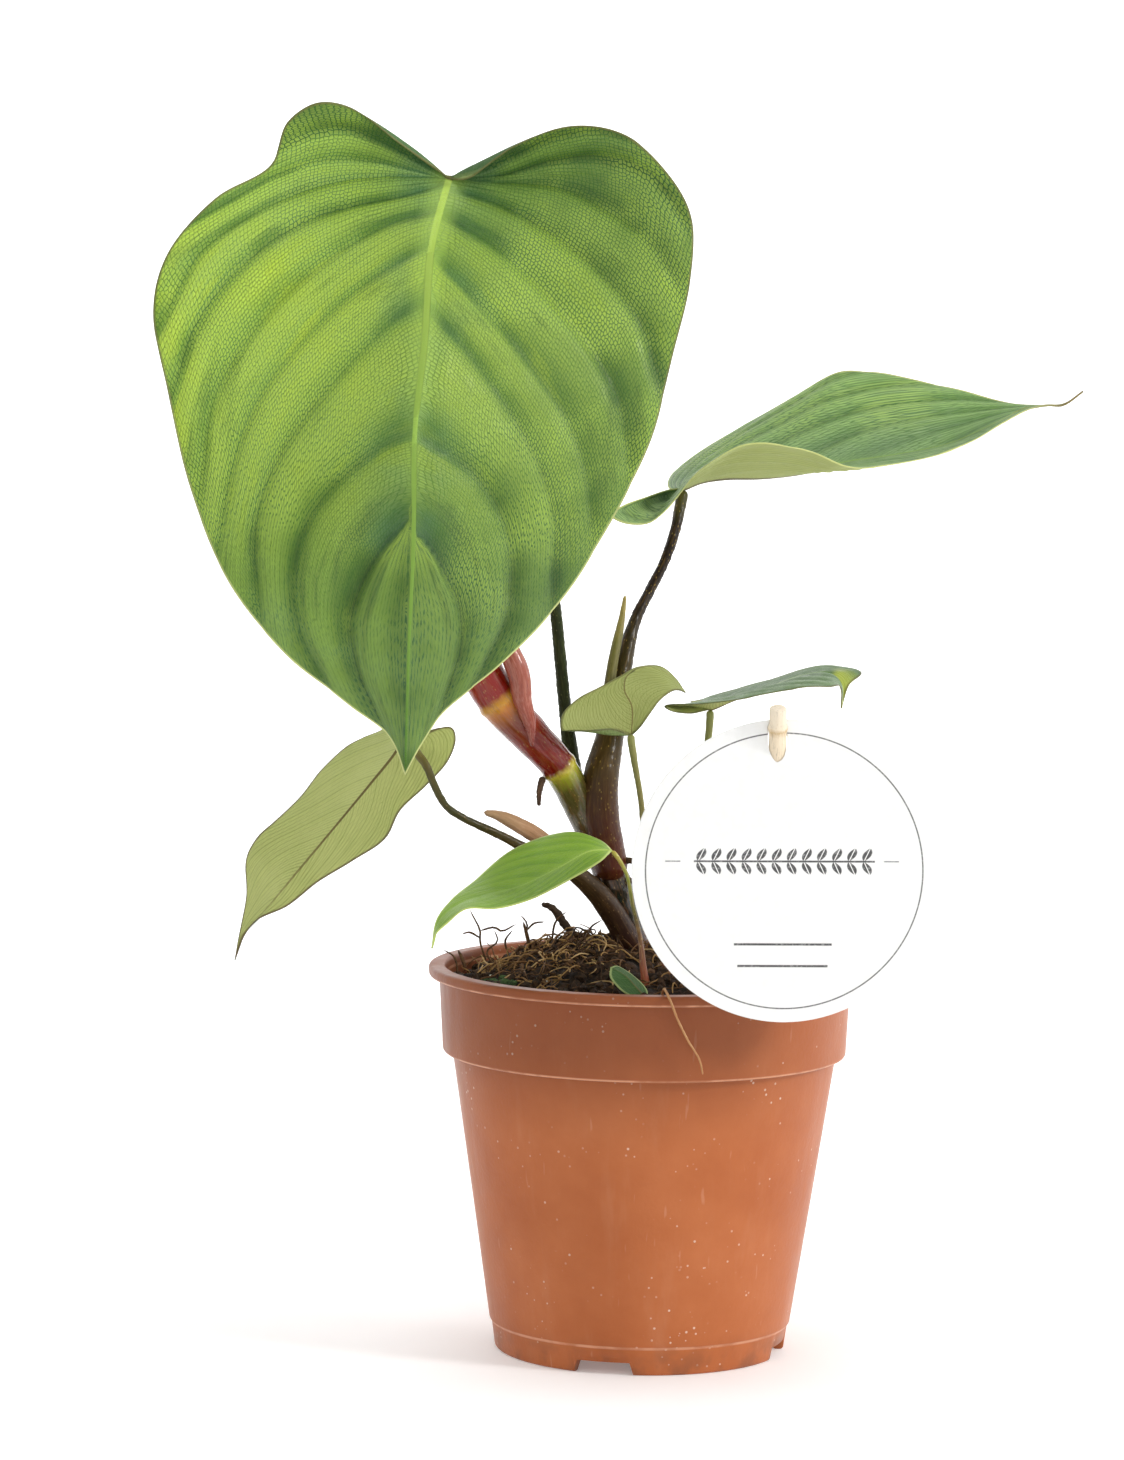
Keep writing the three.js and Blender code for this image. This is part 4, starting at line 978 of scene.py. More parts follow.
# %% Grow the leaves
# Each leaf: piece, shape, name of its finish, look, slot, rows and columns of points a half.
LEAVES = [
    ("large_leaf", large_leaf, "mature_leaf", mature_look, "mature_leaf", 200, 64),
    ("right_leaf", right_leaf, "sage_leaf", sage_look, "mature_leaf", 170, 32),
    ("left_leaf", left_leaf, "pale_leaf", pale_look, "sage_leaf", 130, 26),
    ("young_leaf", young_leaf, "young_leaf", young_look, "young_leaf", 90, 22),
    ("centre_leaf", centre_leaf, "centre_leaf", centre_look, "sage_leaf", 90, 20),
    ("side_leaf", side_leaf, "side_leaf", side_look, "mature_leaf", 100, 24),
    ("sprout", sprout, "sprout_leaf", sprout_look, "sprout_leaf", 40, 10),
]
for name, leaf, finish_name, look, slot, rows, columns in LEAVES:
    grow_blade(name, leaf, leaf_finish(finish_name, look), slot, rows, columns)

# %% [markdown]
# ## Stems, stalks and roots
# Every stem here is a round tube that swells at its nodes and carries a skin: fine grooves, warts or
# papery ribs. A curve with a bevel makes a tube too, but not its rings or roughness. This helper
# walks along a smooth line, sets a ring of points at each step and pushes each point in or out.

# %% Draw a tube
def skin_noise(places, size):
    """A smooth random height, from -1 to 1, for each place."""
    return np.array([noise.noise(Vector(p) / size) for p in places])


def tube_shape(controls, radii, sides=24, step=0.7, rough=(0.08, 3.0), rings=(), ribs=(0, 0.0), seed=0):
    """Points, faces and marks of a closed tube. Sizes are in millimetres."""
    length = float(np.linalg.norm(np.diff(smooth_line(controls), axis=0), axis=1).sum() / MM)
    count = max(10, int(length / step))
    centre = smooth_line(controls, count) / MM
    ahead = unit(np.gradient(centre, axis=0))
    sideways = []
    current = np.cross(ahead[0], [0.31, 0.9, 0.2])
    for direction in ahead:
        current = unit(current - direction * (current @ direction))
        sideways.append(current)
    sideways = np.array(sideways)
    other = np.cross(ahead, sideways)
    share = np.linspace(0, 1, count)
    run = share * length
    radius = np.interp(share, np.linspace(0, 1, len(radii)), radii)
    for height, rise, width in rings:
        radius += rise * np.exp(-((centre[:, 2] - height) / width) ** 2)
    to_end = np.minimum(run, length - run) / np.maximum(radius, 0.01)
    radius *= np.sqrt(1 - (1 - np.clip(to_end, 0.04, 1)) ** 2)
    turn = np.linspace(0, 2 * math.pi, sides, endpoint=False)
    around = np.stack([np.cos(turn), np.sin(turn)], 1)
    plain = np.tile(around, (count, 1)) * np.repeat(radius, sides)[:, None]
    skin = np.column_stack([plain, np.repeat(run, sides)])
    amount, size = rough
    bumps = amount * skin_noise(skin + [seed * 17.3, 0, 0], size)
    bumps += ribs[1] * np.cos(np.tile(turn, count) * ribs[0])
    grown = np.repeat(radius, sides) + bumps * np.repeat(np.clip(to_end, 0, 1), sides)
    spread = np.tile(around, (count, 1)) * grown[:, None]
    places = np.repeat(centre, sides, 0) + np.repeat(sideways, sides, 0) * spread[:, :1]
    places += np.repeat(other, sides, 0) * spread[:, 1:]
    faces = grid_faces(count, sides, closed=True)
    faces.append(tuple(range(sides))[::-1])
    faces.append(tuple(range((count - 1) * sides, count * sides)))
    marks = {"climb": np.repeat(centre[:, 2], sides), "skin": skin}
    return places * MM, faces, marks


def draw_tube(node, controls, radii, finish, slot, name=None, **shape):
    """A tube that stands for one CAD node, and is named after it unless a name is given."""
    places, faces, marks = tube_shape(controls, radii, **shape)
    return add_piece(name or node + "_skin", places, faces, finish, slot, [node], marks)

# %% Stalk finish
def stalk_finish(name, bands, streak, fleck, gloss=0.35, coat=0.0, flecks=0.3, shine=0.35):
    """A skin painted in bands by height in millimetres, with streaks along it and small flecks."""
    skin = Finish(name, Coat_Weight=coat, Coat_Roughness=0.08, Specular_IOR_Level=shine)
    low, high = bands[0][0], bands[-1][0]
    waver = skin.times(skin.minus(skin.noise(500), 0.5), (high - low) * 0.012)
    height = skin.plus(skin.read("climb"), waver)
    level = skin.math("DIVIDE", skin.minus(height, low), high - low, clamp=True)
    lines = skin.noise(1.6, skin.place((1, 1, 0.12), skin.read("skin", "Vector")), detail=4, rough=0.7)
    dots = skin.cells(1.1, skin.place((1, 1, 0.5), skin.read("skin", "Vector")))
    stops = [((place - low) / (high - low), paint) for place, paint in bands]
    colour = skin.layers(skin.ramp(level, stops),
        (skin.fade(lines, 0.45, 0.75, 0.0, 0.55), streak),
        (skin.fade(lines, 0.45, 0.25, 0.0, 0.45), (30, 24, 16)),
        (skin.times(skin.fade(dots, 0.22, 0.12), flecks), fleck))
    gloss_map = skin.fade(lines, 0.3, 0.7, gloss, gloss + 0.15)
    return skin.finish(colour, gloss_map, skin.relief(lines, 0.0003, 0.4))


stem_skin = stalk_finish("stem_skin", [
    (90, (84, 40, 26)), (110, (96, 44, 30)), (114, (56, 36, 32)), (119, (30, 40, 36)),
    (127, (30, 40, 34)), (131, (46, 34, 22)), (137, (56, 36, 24)), (146, (72, 62, 30)),
    (158, (90, 88, 40)), (161, (150, 156, 48)), (162.5, (200, 190, 66)), (163.6, (112, 14, 8)),
    (172, (128, 22, 14)), (177, (128, 56, 34)), (180.2, (190, 112, 30)), (181.6, (206, 150, 44)),
    (183.2, (138, 14, 6)), (200, (160, 34, 14)), (215, (140, 40, 24)),
], (138, 84, 42), (196, 168, 88), gloss=0.2, coat=0.8, flecks=0.3, shine=0.15)
red_skin = stalk_finish("red_stalk", [(90, (150, 82, 58)), (104, (168, 96, 68)), (118, (110, 76, 48))],
    (196, 130, 98), (206, 160, 120), gloss=0.3, coat=0.2)
young_stalk_skin = stalk_finish("young_stalk", [
    (92, (140, 62, 42)), (108, (166, 84, 58)), (115, (120, 70, 40)), (124, (96, 84, 40)),
    (134, (132, 140, 44)), (141, (180, 170, 66)),
], (196, 150, 90), (206, 190, 110), gloss=0.3, coat=0.2)
dark_skin = stalk_finish("dark_stalk", [
    (152, (60, 62, 30)), (166, (44, 50, 26)), (230, (40, 48, 24)), (300, (50, 60, 26)),
    (321, (96, 112, 46)),
], (84, 90, 50), (120, 120, 70), gloss=0.4, shine=0.15, flecks=0.4)
brown_skin = stalk_finish("brown_stalk", [
    (130, (84, 36, 22)), (140, (78, 34, 22)), (150, (70, 38, 20)), (160, (66, 48, 20)),
    (180, (68, 58, 20)),
    (200, (44, 36, 18)), (206, (30, 20, 14)), (228, (30, 20, 14)), (236, (76, 76, 36)),
], (106, 80, 36), (168, 140, 66), gloss=0.3, coat=0.12, flecks=0.5, shine=0.15)
left_skin = stalk_finish("left_stalk", [
    (106, (70, 32, 24)), (116, (56, 36, 30)), (126, (62, 44, 28)), (140, (70, 56, 26)),
    (152, (58, 58, 26)), (164, (84, 78, 40)), (170, (126, 120, 66)),
], (104, 78, 44), (160, 130, 84), gloss=0.3, coat=0.12, shine=0.15, flecks=0.35)
olive_skin = stalk_finish("olive_stalk", [
    (118, (86, 72, 44)), (140, (116, 104, 58)), (165, (126, 124, 66)), (176, (142, 148, 84)),
], (152, 140, 90), (90, 70, 44), gloss=0.42, flecks=0.35)
olive_sheath_skin = stalk_finish("olive_sheath", [(178, (80, 74, 36)), (196, (112, 108, 50)),
    (209, (168, 150, 82))],
    (150, 136, 74), (60, 50, 30), gloss=0.45)
paper_skin = stalk_finish("paper_sheath", [(137, (112, 74, 50)), (146, (172, 130, 94)),
    (151, (176, 140, 104))],
    (206, 172, 138), (110, 80, 60), gloss=0.55)
petal_skin = stalk_finish("cataphyll_skin", [
    (169, (120, 36, 28)), (178, (156, 76, 60)), (194, (158, 84, 70)), (211, (140, 70, 54)),
], (204, 140, 120), (110, 40, 34), gloss=0.2, coat=0.5, shine=0.2)
aerial_skin = stalk_finish("root_brown", [(100, (84, 62, 42)), (160, (72, 52, 38))],
    (130, 100, 74), (50, 36, 28), gloss=0.7)
trail_skin = stalk_finish("trailing_root", [(86, (186, 136, 88)), (108, (168, 118, 74))],
    (224, 196, 152), (140, 100, 66), gloss=0.6)
twig_skin = stalk_finish("bark", [(104, (44, 30, 22)), (121, (58, 42, 30))],
    (96, 72, 50), (24, 16, 12), gloss=0.8)

# %% Stems
draw_tube("main_stem", [[1, 12, 90], [-1, 11, 100], [-5, 8, 117], [-9, 5, 129], [-12, 4, 137],
    [-16, 2, 146], [-20, 0, 154], [-25, -5, 163], [-33, -9, 172], [-41, -12, 181], [-46, -13, 189],
    [-49, -13, 198], [-51, -12, 207], [-52, -11, 215]],
    [5.2, 5, 4.9, 4.8, 4.5, 4.7, 4.7, 5.2, 5.9, 5.9, 4.2, 0.8], stem_skin, "stem_skin", sides=48,
    step=0.5,
    rough=(0.16, 4.0), rings=[(129, 0.5, 2.2), (137, 0.3, 1.0), (162.6, 0.4, 0.7), (181.4, 0.4, 0.8)])
draw_tube("basal_shoot", [[7, -20, 90], [7, -20, 103], [6, -19, 110], [5, -17, 118]],
    [1.9, 1.9, 1.7, 1.5],
    red_skin, "red_stalk", rough=(0.1, 2.0))
draw_tube("red_cataphyll", [[-32, -15, 169], [-33, -16, 176], [-35, -16, 182], [-36, -17, 189],
    [-39, -17, 196], [-43, -16, 204], [-47, -15, 211]], [0.4, 1.9, 2.9, 3.1, 2.7, 1.8, 0.4], petal_skin,
    "cataphyll_skin", sides=40, step=0.5, rough=(0.08, 2.0), ribs=(14, 0.05))

# %% Leaf stalks
draw_tube("large_leaf_stalk", [[-19, 5, 152], [-21, 8, 162], [-23, 7, 176], [-25, 1, 194],
    [-27, -5, 211],
    [-33, -16, 242], [-42, -29, 277], [-50, -40, 307], [-54, -45, 317], [-56, -48, 321],
    [-56, -50.4, 322.6]], [2.6, 1.8, 1.6, 1.5, 1.4, 1.4, 1.5, 1.9], dark_skin, "dark_stalk", step=0.5,
    rough=(0.2, 0.9), seed=1)
draw_tube("right_leaf_stalk", [[-9, 3, 130], [-11, 2, 139], [-13, 0, 149], [-13, 0, 159], [-11, 3, 169],
    [-9, 7, 180], [-7, 11, 191], [-4, 16, 202], [0, 20, 210], [4, 23, 218], [7, 26, 227], [8, 28, 232],
    [9, 30, 237.7]], [4.8, 4.9, 5.2, 4.8, 3.8, 2.9, 2.5, 1.7, 1.4, 1.4, 1.5, 1.7], brown_skin,
    "brown_stalk", sides=32, step=0.5, rough=(0.17, 1.0), seed=2)
draw_tube("right_leaf_stalk", [[-12, 1, 178], [-10, 6, 192], [-8, 10, 202], [-7, 12, 209]],
    [1.5, 1.5, 1.2, 0.4], olive_sheath_skin, "brown_stalk", name="right_leaf_sheath", rough=(0.08, 1.5),
    ribs=(9, 0.06), seed=3)
draw_tube("left_leaf_stalk", [[-1, 8, 106], [-9, 2, 121], [-15, -4, 129], [-22, -9, 135],
    [-32, -13, 140],
    [-41, -17, 145], [-51, -21, 150], [-55, -23, 153], [-58, -25, 158], [-61, -26, 165],
    [-66, -21, 170],
    [-67, -18.6, 171]], [3.6, 3.6, 3.3, 2.6, 1.8, 1.25, 1.05, 1.0, 1.1, 1.5], left_skin, "olive_stalk",
    sides=28, step=0.5, rough=(0.13, 1.3), seed=4)
draw_tube("left_leaf_stalk", [[-45, -17, 151], [-41, -16, 150], [-35, -14, 147], [-29, -11, 143],
    [-23, -8, 137]], [0.6, 1.8, 2.2, 2.2, 1.2], paper_skin, "olive_stalk", name="left_leaf_sheath",
    rough=(0.1, 2.0), ribs=(12, 0.09))
draw_tube("young_leaf_stalk", [[0, -30, 92], [0, -30, 104], [-1, -30, 111], [-2, -28, 119],
    [-4, -27, 127],
    [-6, -26, 136], [-9, -26, 141], [-10, -26, 142]], [1.7, 1.5, 1.0, 0.65, 0.55, 0.5, 0.6],
    young_stalk_skin, "red_stalk", rough=(0.07, 1.6), seed=5)
draw_tube("centre_leaf_stalk", [[5, -16, 121], [2, -14, 130], [-1, -12, 143], [-2, -11, 154],
    [-4, -11, 165], [-5, -10, 171], [-5, -9.2, 172.2]], [1.0, 0.8, 0.75, 0.8, 1.1], olive_skin,
    "olive_stalk", sides=16, rough=(0.08, 1.2), seed=6)
draw_tube("side_leaf_stalk", [[8, -14, 119], [11, -6, 130], [14, 0, 148], [16, 4, 163], [17, 6, 176],
    [17, 6, 178]], [1.1, 0.9, 0.9, 0.9, 1.1], olive_skin, "olive_stalk", sides=16, rough=(0.1, 1.0),
    seed=7)

# %% Aerial roots, the trailing root and the twig
AERIAL_ROOTS = {
    "aerial_root_1": ([[-29, -7, 160], [-30, -8, 156], [-30, -8, 152]], [1.1, 0.8, 0.5]),
    "aerial_root_2": ([[-7, 3, 136], [-3, 0, 136], [0, -2, 134]], [1, 0.8, 0.5]),
    "aerial_root_3": ([[-6, 2, 131], [-3, 1, 130], [-1, 0, 128]], [0.9, 0.7, 0.5]),
    "aerial_root_4": ([[-12, 3, 132], [-15, 1, 130], [-16, 0, 127]], [0.9, 0.7, 0.5]),
}
for number, (name, (route, radii)) in enumerate(AERIAL_ROOTS.items()):
    draw_tube(name, route, radii, aerial_skin, "root_brown", sides=14, step=0.3, rough=(0.16, 0.8),
        seed=number)
draw_tube("trailing_root", [[3, -49, 101], [4, -54, 107.4], [4.5, -58, 108.6], [6, -61.6, 106],
    [8, -61, 101], [11, -59.5, 95], [14, -58.6, 90], [15, -58.4, 86]],
    [0.4, 0.4, 0.34, 0.3, 0.28, 0.22],
    trail_skin, "root_brown", sides=12, step=0.4, rough=(0.08, 1.2))
draw_tube("bark_twig", [[-29, 22, 121], [-26, 21, 120], [-22, 20, 115], [-17, 18, 110], [-13, 16, 104]],
    [0.7, 1.2, 1.1, 1, 0.7], twig_skin, "bark", sides=16, step=0.35, rough=(0.35, 1.2))

# %% [markdown]
# ## Potting soil
# The soil is moist peat with coir: dark crumbs, pale curling fibres, a few bits of perlite and
# moss. Bump alone would leave a smooth outline against the light, so the surface is really lumpy: a
# round grid raised by layered noise, loose crumbs on it, and fibres that arch over and stand out.

# %% Soil surface
SOIL_EDGE_DROP = 6
SOIL_CROWN = 9
SOIL_HEAP_HEIGHT = 4
SOIL_HEAP_SPREAD = 16
SOIL_HEAP_PLACE = (-20, 14)
WALL_GAP = 0.35
SOIL_RINGS = 70
SOIL_SIDES = 260

soil_edge = POT_HEIGHT - SOIL_EDGE_DROP


def soil_radius(height):
    share = (height - collar_foot) / COLLAR_HEIGHT
    collar = COLLAR_FOOT_RADIUS + (COLLAR_TOP_RADIUS - COLLAR_FOOT_RADIUS) * share
    return (collar if height > collar_foot else body_radius(height)) - POT_WALL - WALL_GAP


def soil_height(x, y):
    share = np.hypot(x, y) / soil_radius(soil_edge)
    far = np.hypot(x - SOIL_HEAP_PLACE[0], y - SOIL_HEAP_PLACE[1]) / SOIL_HEAP_SPREAD
    heap = SOIL_HEAP_HEIGHT * np.exp(-0.5 * far ** 2) * (1 - share ** 4)
    return soil_edge + SOIL_CROWN * (1 - share ** 2) + heap


shelf = collar_foot + POT_WALL + 2 * WALL_GAP
side_profile = [(0.01, floor_top + WALL_GAP), (soil_radius(floor_top) - WALL_GAP, floor_top + WALL_GAP),
    (soil_radius(collar_foot), collar_foot + WALL_GAP), (soil_radius(shelf), shelf)]
top_radii = soil_radius(soil_edge) * np.linspace(1, 0, SOIL_RINGS) ** 0.85
soil_points = turned_shape(side_profile + [(max(r, 0.01), soil_edge) for r in top_radii], SOIL_SIDES)
top = np.arange(len(soil_points)) >= len(side_profile) * SOIL_SIDES
x, y = soil_points[top, 0], soil_points[top, 1]
flat_places = np.stack([x, y, np.zeros_like(x)], 1)
lumps = 0
# Each layer of lumps: height, size and a shift that keeps it unlike the others, in millimetres.
for lump_height, lump_size, shift in [(1.5, 9.0, 0), (1.1, 3.6, 50), (0.6, 1.5, 90)]:
    lumps = lumps + lump_height * skin_noise(flat_places + shift, lump_size)
inward = np.clip((soil_radius(soil_edge) - np.hypot(x, y)) / 3, 0, 1)
soil_points[top, 2] = soil_height(x, y) + (lumps - 0.4) * inward

soil_skin = Finish("peat_soil", Roughness=0.95, Specular_IOR_Level=0.2)
soil_clouds = soil_skin.noise(260, detail=6, rough=0.7)
soil_colour = soil_skin.ramp(soil_clouds, [(0.32, (12, 8, 6)), (0.5, (34, 22, 15)),
    (0.66, (72, 50, 34))])
soil_bits = soil_skin.cells(700)
soil_colour = soil_skin.mix(soil_skin.fade(soil_bits, 0.3, 0.1, 0.0, 0.5), soil_colour, (96, 72, 50))
soil_wet = soil_skin.fade(soil_skin.noise(120), 0.4, 0.6, 0.7, 0.98)
soil_material = soil_skin.finish(soil_colour, soil_wet, soil_skin.relief(soil_clouds, 0.0012, 0.9))
soil_faces = grid_faces(len(side_profile) + SOIL_RINGS, SOIL_SIDES, closed=True)
add_piece("potting_soil_top", soil_points * MM, soil_faces, soil_material, "peat_soil", ["potting_soil"])
print("soil points:", len(soil_points))

# %% Crumbs of peat, perlite and moss
def ball_mesh():
    """Points and faces of one small round stone."""
    work = bmesh.new()
    bmesh.ops.create_icosphere(work, subdivisions=1, radius=1)
    points = np.array([v.co[:] for v in work.verts])
    faces = [[v.index for v in f.verts] for f in work.faces]
    work.free()
    return points, faces


ball_points, ball_faces = ball_mesh()


CRUMB_SINK = 0.3


def scatter_crumbs(name, count, sizes, finish, spot=(0, 0), spread=None):
    """Lumpy crumbs that lie on the soil, all in one mesh."""
    places, faces = [], []
    for _ in range(count):
        if spread is None:
            distance = soil_radius(soil_edge) * 0.97 * math.sqrt(dice.random())
            turn = dice.random() * 2 * math.pi
            at = np.array([distance * math.cos(turn), distance * math.sin(turn)])
        else:
            at = np.array(spot) + dice.normal(0, spread, 2)
        at *= min(1, (soil_radius(soil_edge) - 2) / max(np.hypot(*at), 1))
        size = dice.uniform(*sizes)
        shape = ball_points * dice.uniform(0.7, 1.3, 3)
        shape = shape * (1 + 0.28 * dice.standard_normal((len(ball_points), 1)))
        lump = 0.6 * noise.noise(Vector((at[0], at[1], 0)) / 9.0)
        height = soil_height(*at) + size * (0.5 - CRUMB_SINK) + lump
        start = len(places) * len(ball_points)
        places.append(shape * size + [at[0], at[1], height])
        faces += [[c + start for c in face] for face in ball_faces]
    places = np.concatenate(places) * MM
    return add_piece(name, places, faces, finish, "peat_soil", ["potting_soil"], smooth=False)


def crumb_finish(name, dark, light):
    skin = Finish(name, Specular_IOR_Level=0.25)
    clouds = skin.noise(800, detail=4, rough=0.7)
    return skin.finish(skin.ramp(clouds, [(0.35, dark), (0.65, light)]),
        skin.fade(clouds, 0.3, 0.7, 0.75, 0.98),
        skin.relief(clouds, 0.0004, 0.8))


peat_crumbs = crumb_finish("peat_crumbs", (26, 17, 12), (80, 58, 40))
brown_crumbs = crumb_finish("bark_crumbs", (62, 42, 28), (116, 86, 58))
white_crumbs = crumb_finish("perlite", (176, 172, 160), (226, 224, 214))
moss_crumbs = crumb_finish("moss", (40, 58, 34), (84, 108, 66))
scatter_crumbs("peat_crumbs", 520, (0.5, 1.7), peat_crumbs)
scatter_crumbs("bark_crumbs", 90, (0.4, 1.1), brown_crumbs)
scatter_crumbs("perlite_bits", 16, (0.3, 0.8), white_crumbs, (-42, -22), 5.0)
scatter_crumbs("moss_bits", 34, (0.4, 1.2), moss_crumbs, (-42, -20), 5.0)

# %% Coir fibres and twiggy roots
def lay_fibres(name, routes, thickness, finish):
    """Thin tubes in one mesh, each with its own tone."""
    places, faces, tones = [], [], []
    for route in routes:
        radii = [thickness * 0.8, thickness, thickness * 0.5]
        points, tube_faces, _ = tube_shape(route, radii, sides=5, step=1.6, rough=(0.0, 1.0))
        start = sum(len(p) for p in places)
        places.append(points)
        faces += [[c + start for c in face] for face in tube_faces]
        tones.append(np.full(len(points), dice.random()))
    marks = {"tone": np.concatenate(tones)}
    return add_piece(name, np.concatenate(places), faces, finish, "peat_soil", ["potting_soil"], marks)


def loose_fibre(spot, length, lift, heading):
    """A route that leaves the soil, arches over it and comes back down."""
    bend = dice.normal(0, 0.5)
    route = []
    at = np.array(spot, float)
    for k in range(6):
        share = k / 5
        height = soil_height(*at) - 0.6 + lift * math.sin(math.pi * min(share * 1.15, 1))
        route.append([*at, height + dice.normal(0, 0.4)])
        at = at + length / 5 * np.array([math.cos(heading), math.sin(heading)])
        at *= min(1, (soil_radius(soil_edge) - 1.5) / max(np.hypot(*at), 1))
        heading += bend + dice.normal(0, 0.35)
    return route


fibre_skin = Finish("coir_fibre", Specular_IOR_Level=0.3)
fibre_tone = fibre_skin.plus(fibre_skin.times(fibre_skin.read("tone"), 0.8),
    fibre_skin.times(fibre_skin.noise(300), 0.2))
fibre_colour = fibre_skin.ramp(fibre_tone, [(0.1, (52, 34, 20)), (0.4, (112, 78, 44)),
    (0.75, (176, 138, 86)),
    (1.0, (222, 192, 142))])
fibre_gloss = fibre_skin.fade(fibre_skin.noise(900), 0.3, 0.7, 0.65, 0.9)
fibre_relief = fibre_skin.relief(fibre_skin.noise(1200), 0.0002, 0.5)
fibre_material = fibre_skin.finish(fibre_colour, fibre_gloss, fibre_relief)

LOW_FIBRE_COUNT = 230
HEAP_FIBRE_COUNT = 110
STANDING_COUNT = 46
SLIVER_COUNT = 26

low_fibres = []
for _ in range(LOW_FIBRE_COUNT):
    distance = 50 * math.sqrt(dice.random())
    turn = dice.random() * 2 * math.pi
    spot = (distance * math.cos(turn), distance * math.sin(turn))
    low_fibres.append(loose_fibre(spot, dice.uniform(7, 22), dice.uniform(0.3, 2.6),
        dice.random() * 6.3))
for _ in range(HEAP_FIBRE_COUNT):
    spot = np.array([-22, 2]) + dice.normal(0, 12, 2)
    low_fibres.append(loose_fibre(spot, dice.uniform(8, 20), dice.uniform(1, 4.5), dice.random() * 6.3))
lay_fibres("coir_fibres", low_fibres, 0.22, fibre_material)

standing = []
for _ in range(STANDING_COUNT):
    spot = np.array([dice.uniform(-50, 6), dice.uniform(-6, 28)])
    rise = dice.uniform(1.5, 6)
    base = [*spot, soil_height(*spot) - 1]
    lean = dice.normal(0, 0.7, 2)
    kink = dice.normal(0, 0.9, 4)
    route = [base]
    for step, share in enumerate((0.35, 0.7, 1.0)):
        route.append([base[0] + lean[0] * rise * share + kink[step], base[1] + lean[1] * rise * share,
            base[2] + rise * share ** 0.8])
    standing.append(route)
lay_fibres("standing_roots", standing, 0.2, fibre_material)
DARK_ROOTS = [
    [[-44, 8, 106], [-46, 8, 112], [-46, 8, 115], [-48, 8, 119], [-49, 8, 121]],
    [[-46, 8, 113], [-49, 8, 114.5], [-51, 8, 114]], [[-46, 8, 115], [-42, 8, 116], [-40, 8, 115],
    [-36, 8, 117]],
    [[-31, 10, 109], [-33, 10, 114], [-33, 10, 117], [-35, 10, 119.5]],
    [[-33, 10, 115], [-31, 10, 117], [-28, 10, 117.5]],
    [[-38, 10, 108], [-39, 10, 112], [-37, 10, 115]], [[-26, 14, 111], [-25, 14, 117], [-22, 14, 120]],
    [[-52, 4, 103], [-53, 4, 108], [-56, 4, 110]], [[-17, 12, 111], [-15, 12, 116], [-12, 12, 118]],
    [[-42, 2, 106], [-44, 2, 110], [-41, 2, 113], [-42, 2, 116]],
    [[-24, 6, 110], [-22, 6, 114], [-19, 6, 115.5]],
]
lay_fibres("dark_roots", DARK_ROOTS, 0.33, brown_crumbs)
thick_bits = []
for _ in range(SLIVER_COUNT):
    spot = np.array([-20, 4]) + dice.normal(0, 14, 2)
    thick_bits.append(loose_fibre(spot, dice.uniform(5, 12), dice.uniform(0.5, 2.5),
        dice.random() * 6.3))
thick_bits.append([[-32, 9, 110], [-33, 9, 114], [-34, 9, 117.5]])
thick_bits.append([[-50, 4, 105], [-51, 4, 108], [-52, 4, 110]])
lay_fibres("bark_slivers", thick_bits, 0.6, brown_crumbs)

# %% Root clump in the soil
clump_skin = Finish("root_tan", Specular_IOR_Level=0.3)
clump_tone = clump_skin.noise(220, detail=5, rough=0.6)
clump_material = clump_skin.finish(clump_skin.ramp(clump_tone,
    [(0.35, (150, 116, 78)), (0.65, (214, 190, 146))]),
    clump_skin.fade(clump_tone, 0.3, 0.7, 0.6, 0.85), clump_skin.relief(clump_tone, 0.0005, 0.6))
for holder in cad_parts["root_clump"].material_slots:
    holder.material = clump_material

# %% [markdown]
# ## Name tag and bamboo stick
# The tag is a disc of coated card, and the stick is a split bamboo cane that passes through it. The
# print is drawn by distance in the finish: a thin ring, two dashes, a plain row of leaves and two
# rules, all generic. Printed lines could be modelled as thin shapes, but ink has no thickness.

# %% Tag shape
TAG_RADIUS = 40.5
TAG_THICKNESS = 0.8
TAG_SIDES = 240
TAG_CENTRE = (35.5, -62, 141.5)
STICK_RADIUS = 2.25
STICK_FOOT = np.array([34.5, -15, 58.0])
STICK_HEAD = np.array([33, -65.6, 185.4])
STICK_KNUCKLE_SHARES = [0.3, 0.63, 0.955]
KNUCKLE_SWELL = 0.35
SLOT_CLEARANCE = 0.3
SLOT_SIDES = 24

half_card = TAG_THICKNESS / 2
tag_profile = rounded([(0.01, -half_card), (TAG_RADIUS, -half_card), (TAG_RADIUS, half_card),
    (0.01, half_card)], 0.25)
tag_points = turned_shape(tag_profile, TAG_SIDES)[:, [0, 2, 1]] + TAG_CENTRE
tag_points[:, 1] = TAG_CENTRE[1] - (tag_points[:, 1] - TAG_CENTRE[1])

# %% Tag print
card = Finish("tag_card", Coat_Weight=0.12, Coat_Roughness=0.25, Specular_IOR_Level=0.4)
from_centre = card.node("VectorMath", 0, {0: card.place(), 1: tuple(v * MM for v in TAG_CENTRE)},
    operation="SUBTRACT")
tag_x, tag_y, tag_z = [card.axis(k, from_centre) for k in range(3)]
level = card.minus(tag_z, card.times(tag_x, 0.012))
INK_EDGE = 0.12 * MM
INK_RING = (36.8, 0.17)
# Each inked bar: its middle and half length across, then its middle and half thickness upwards.
INK_BARS = [(-29.6, 2.0, 2.6, 0.13), (28.4, 2.0, 2.6, 0.13), (0, 13, -19.6, 0.3), (0, 12, -25.4, 0.3)]
ROW_BAR = (0, 24, 2.6, 0.25)
LEAF_PITCH = 4.0 * MM
LEAF_LENGTH = 3.6 * MM
LEAF_FATNESS = 4.6 * MM
LEAF_LEAN = 1.7 * MM
LEAF_SHIFT = 1.1 * MM


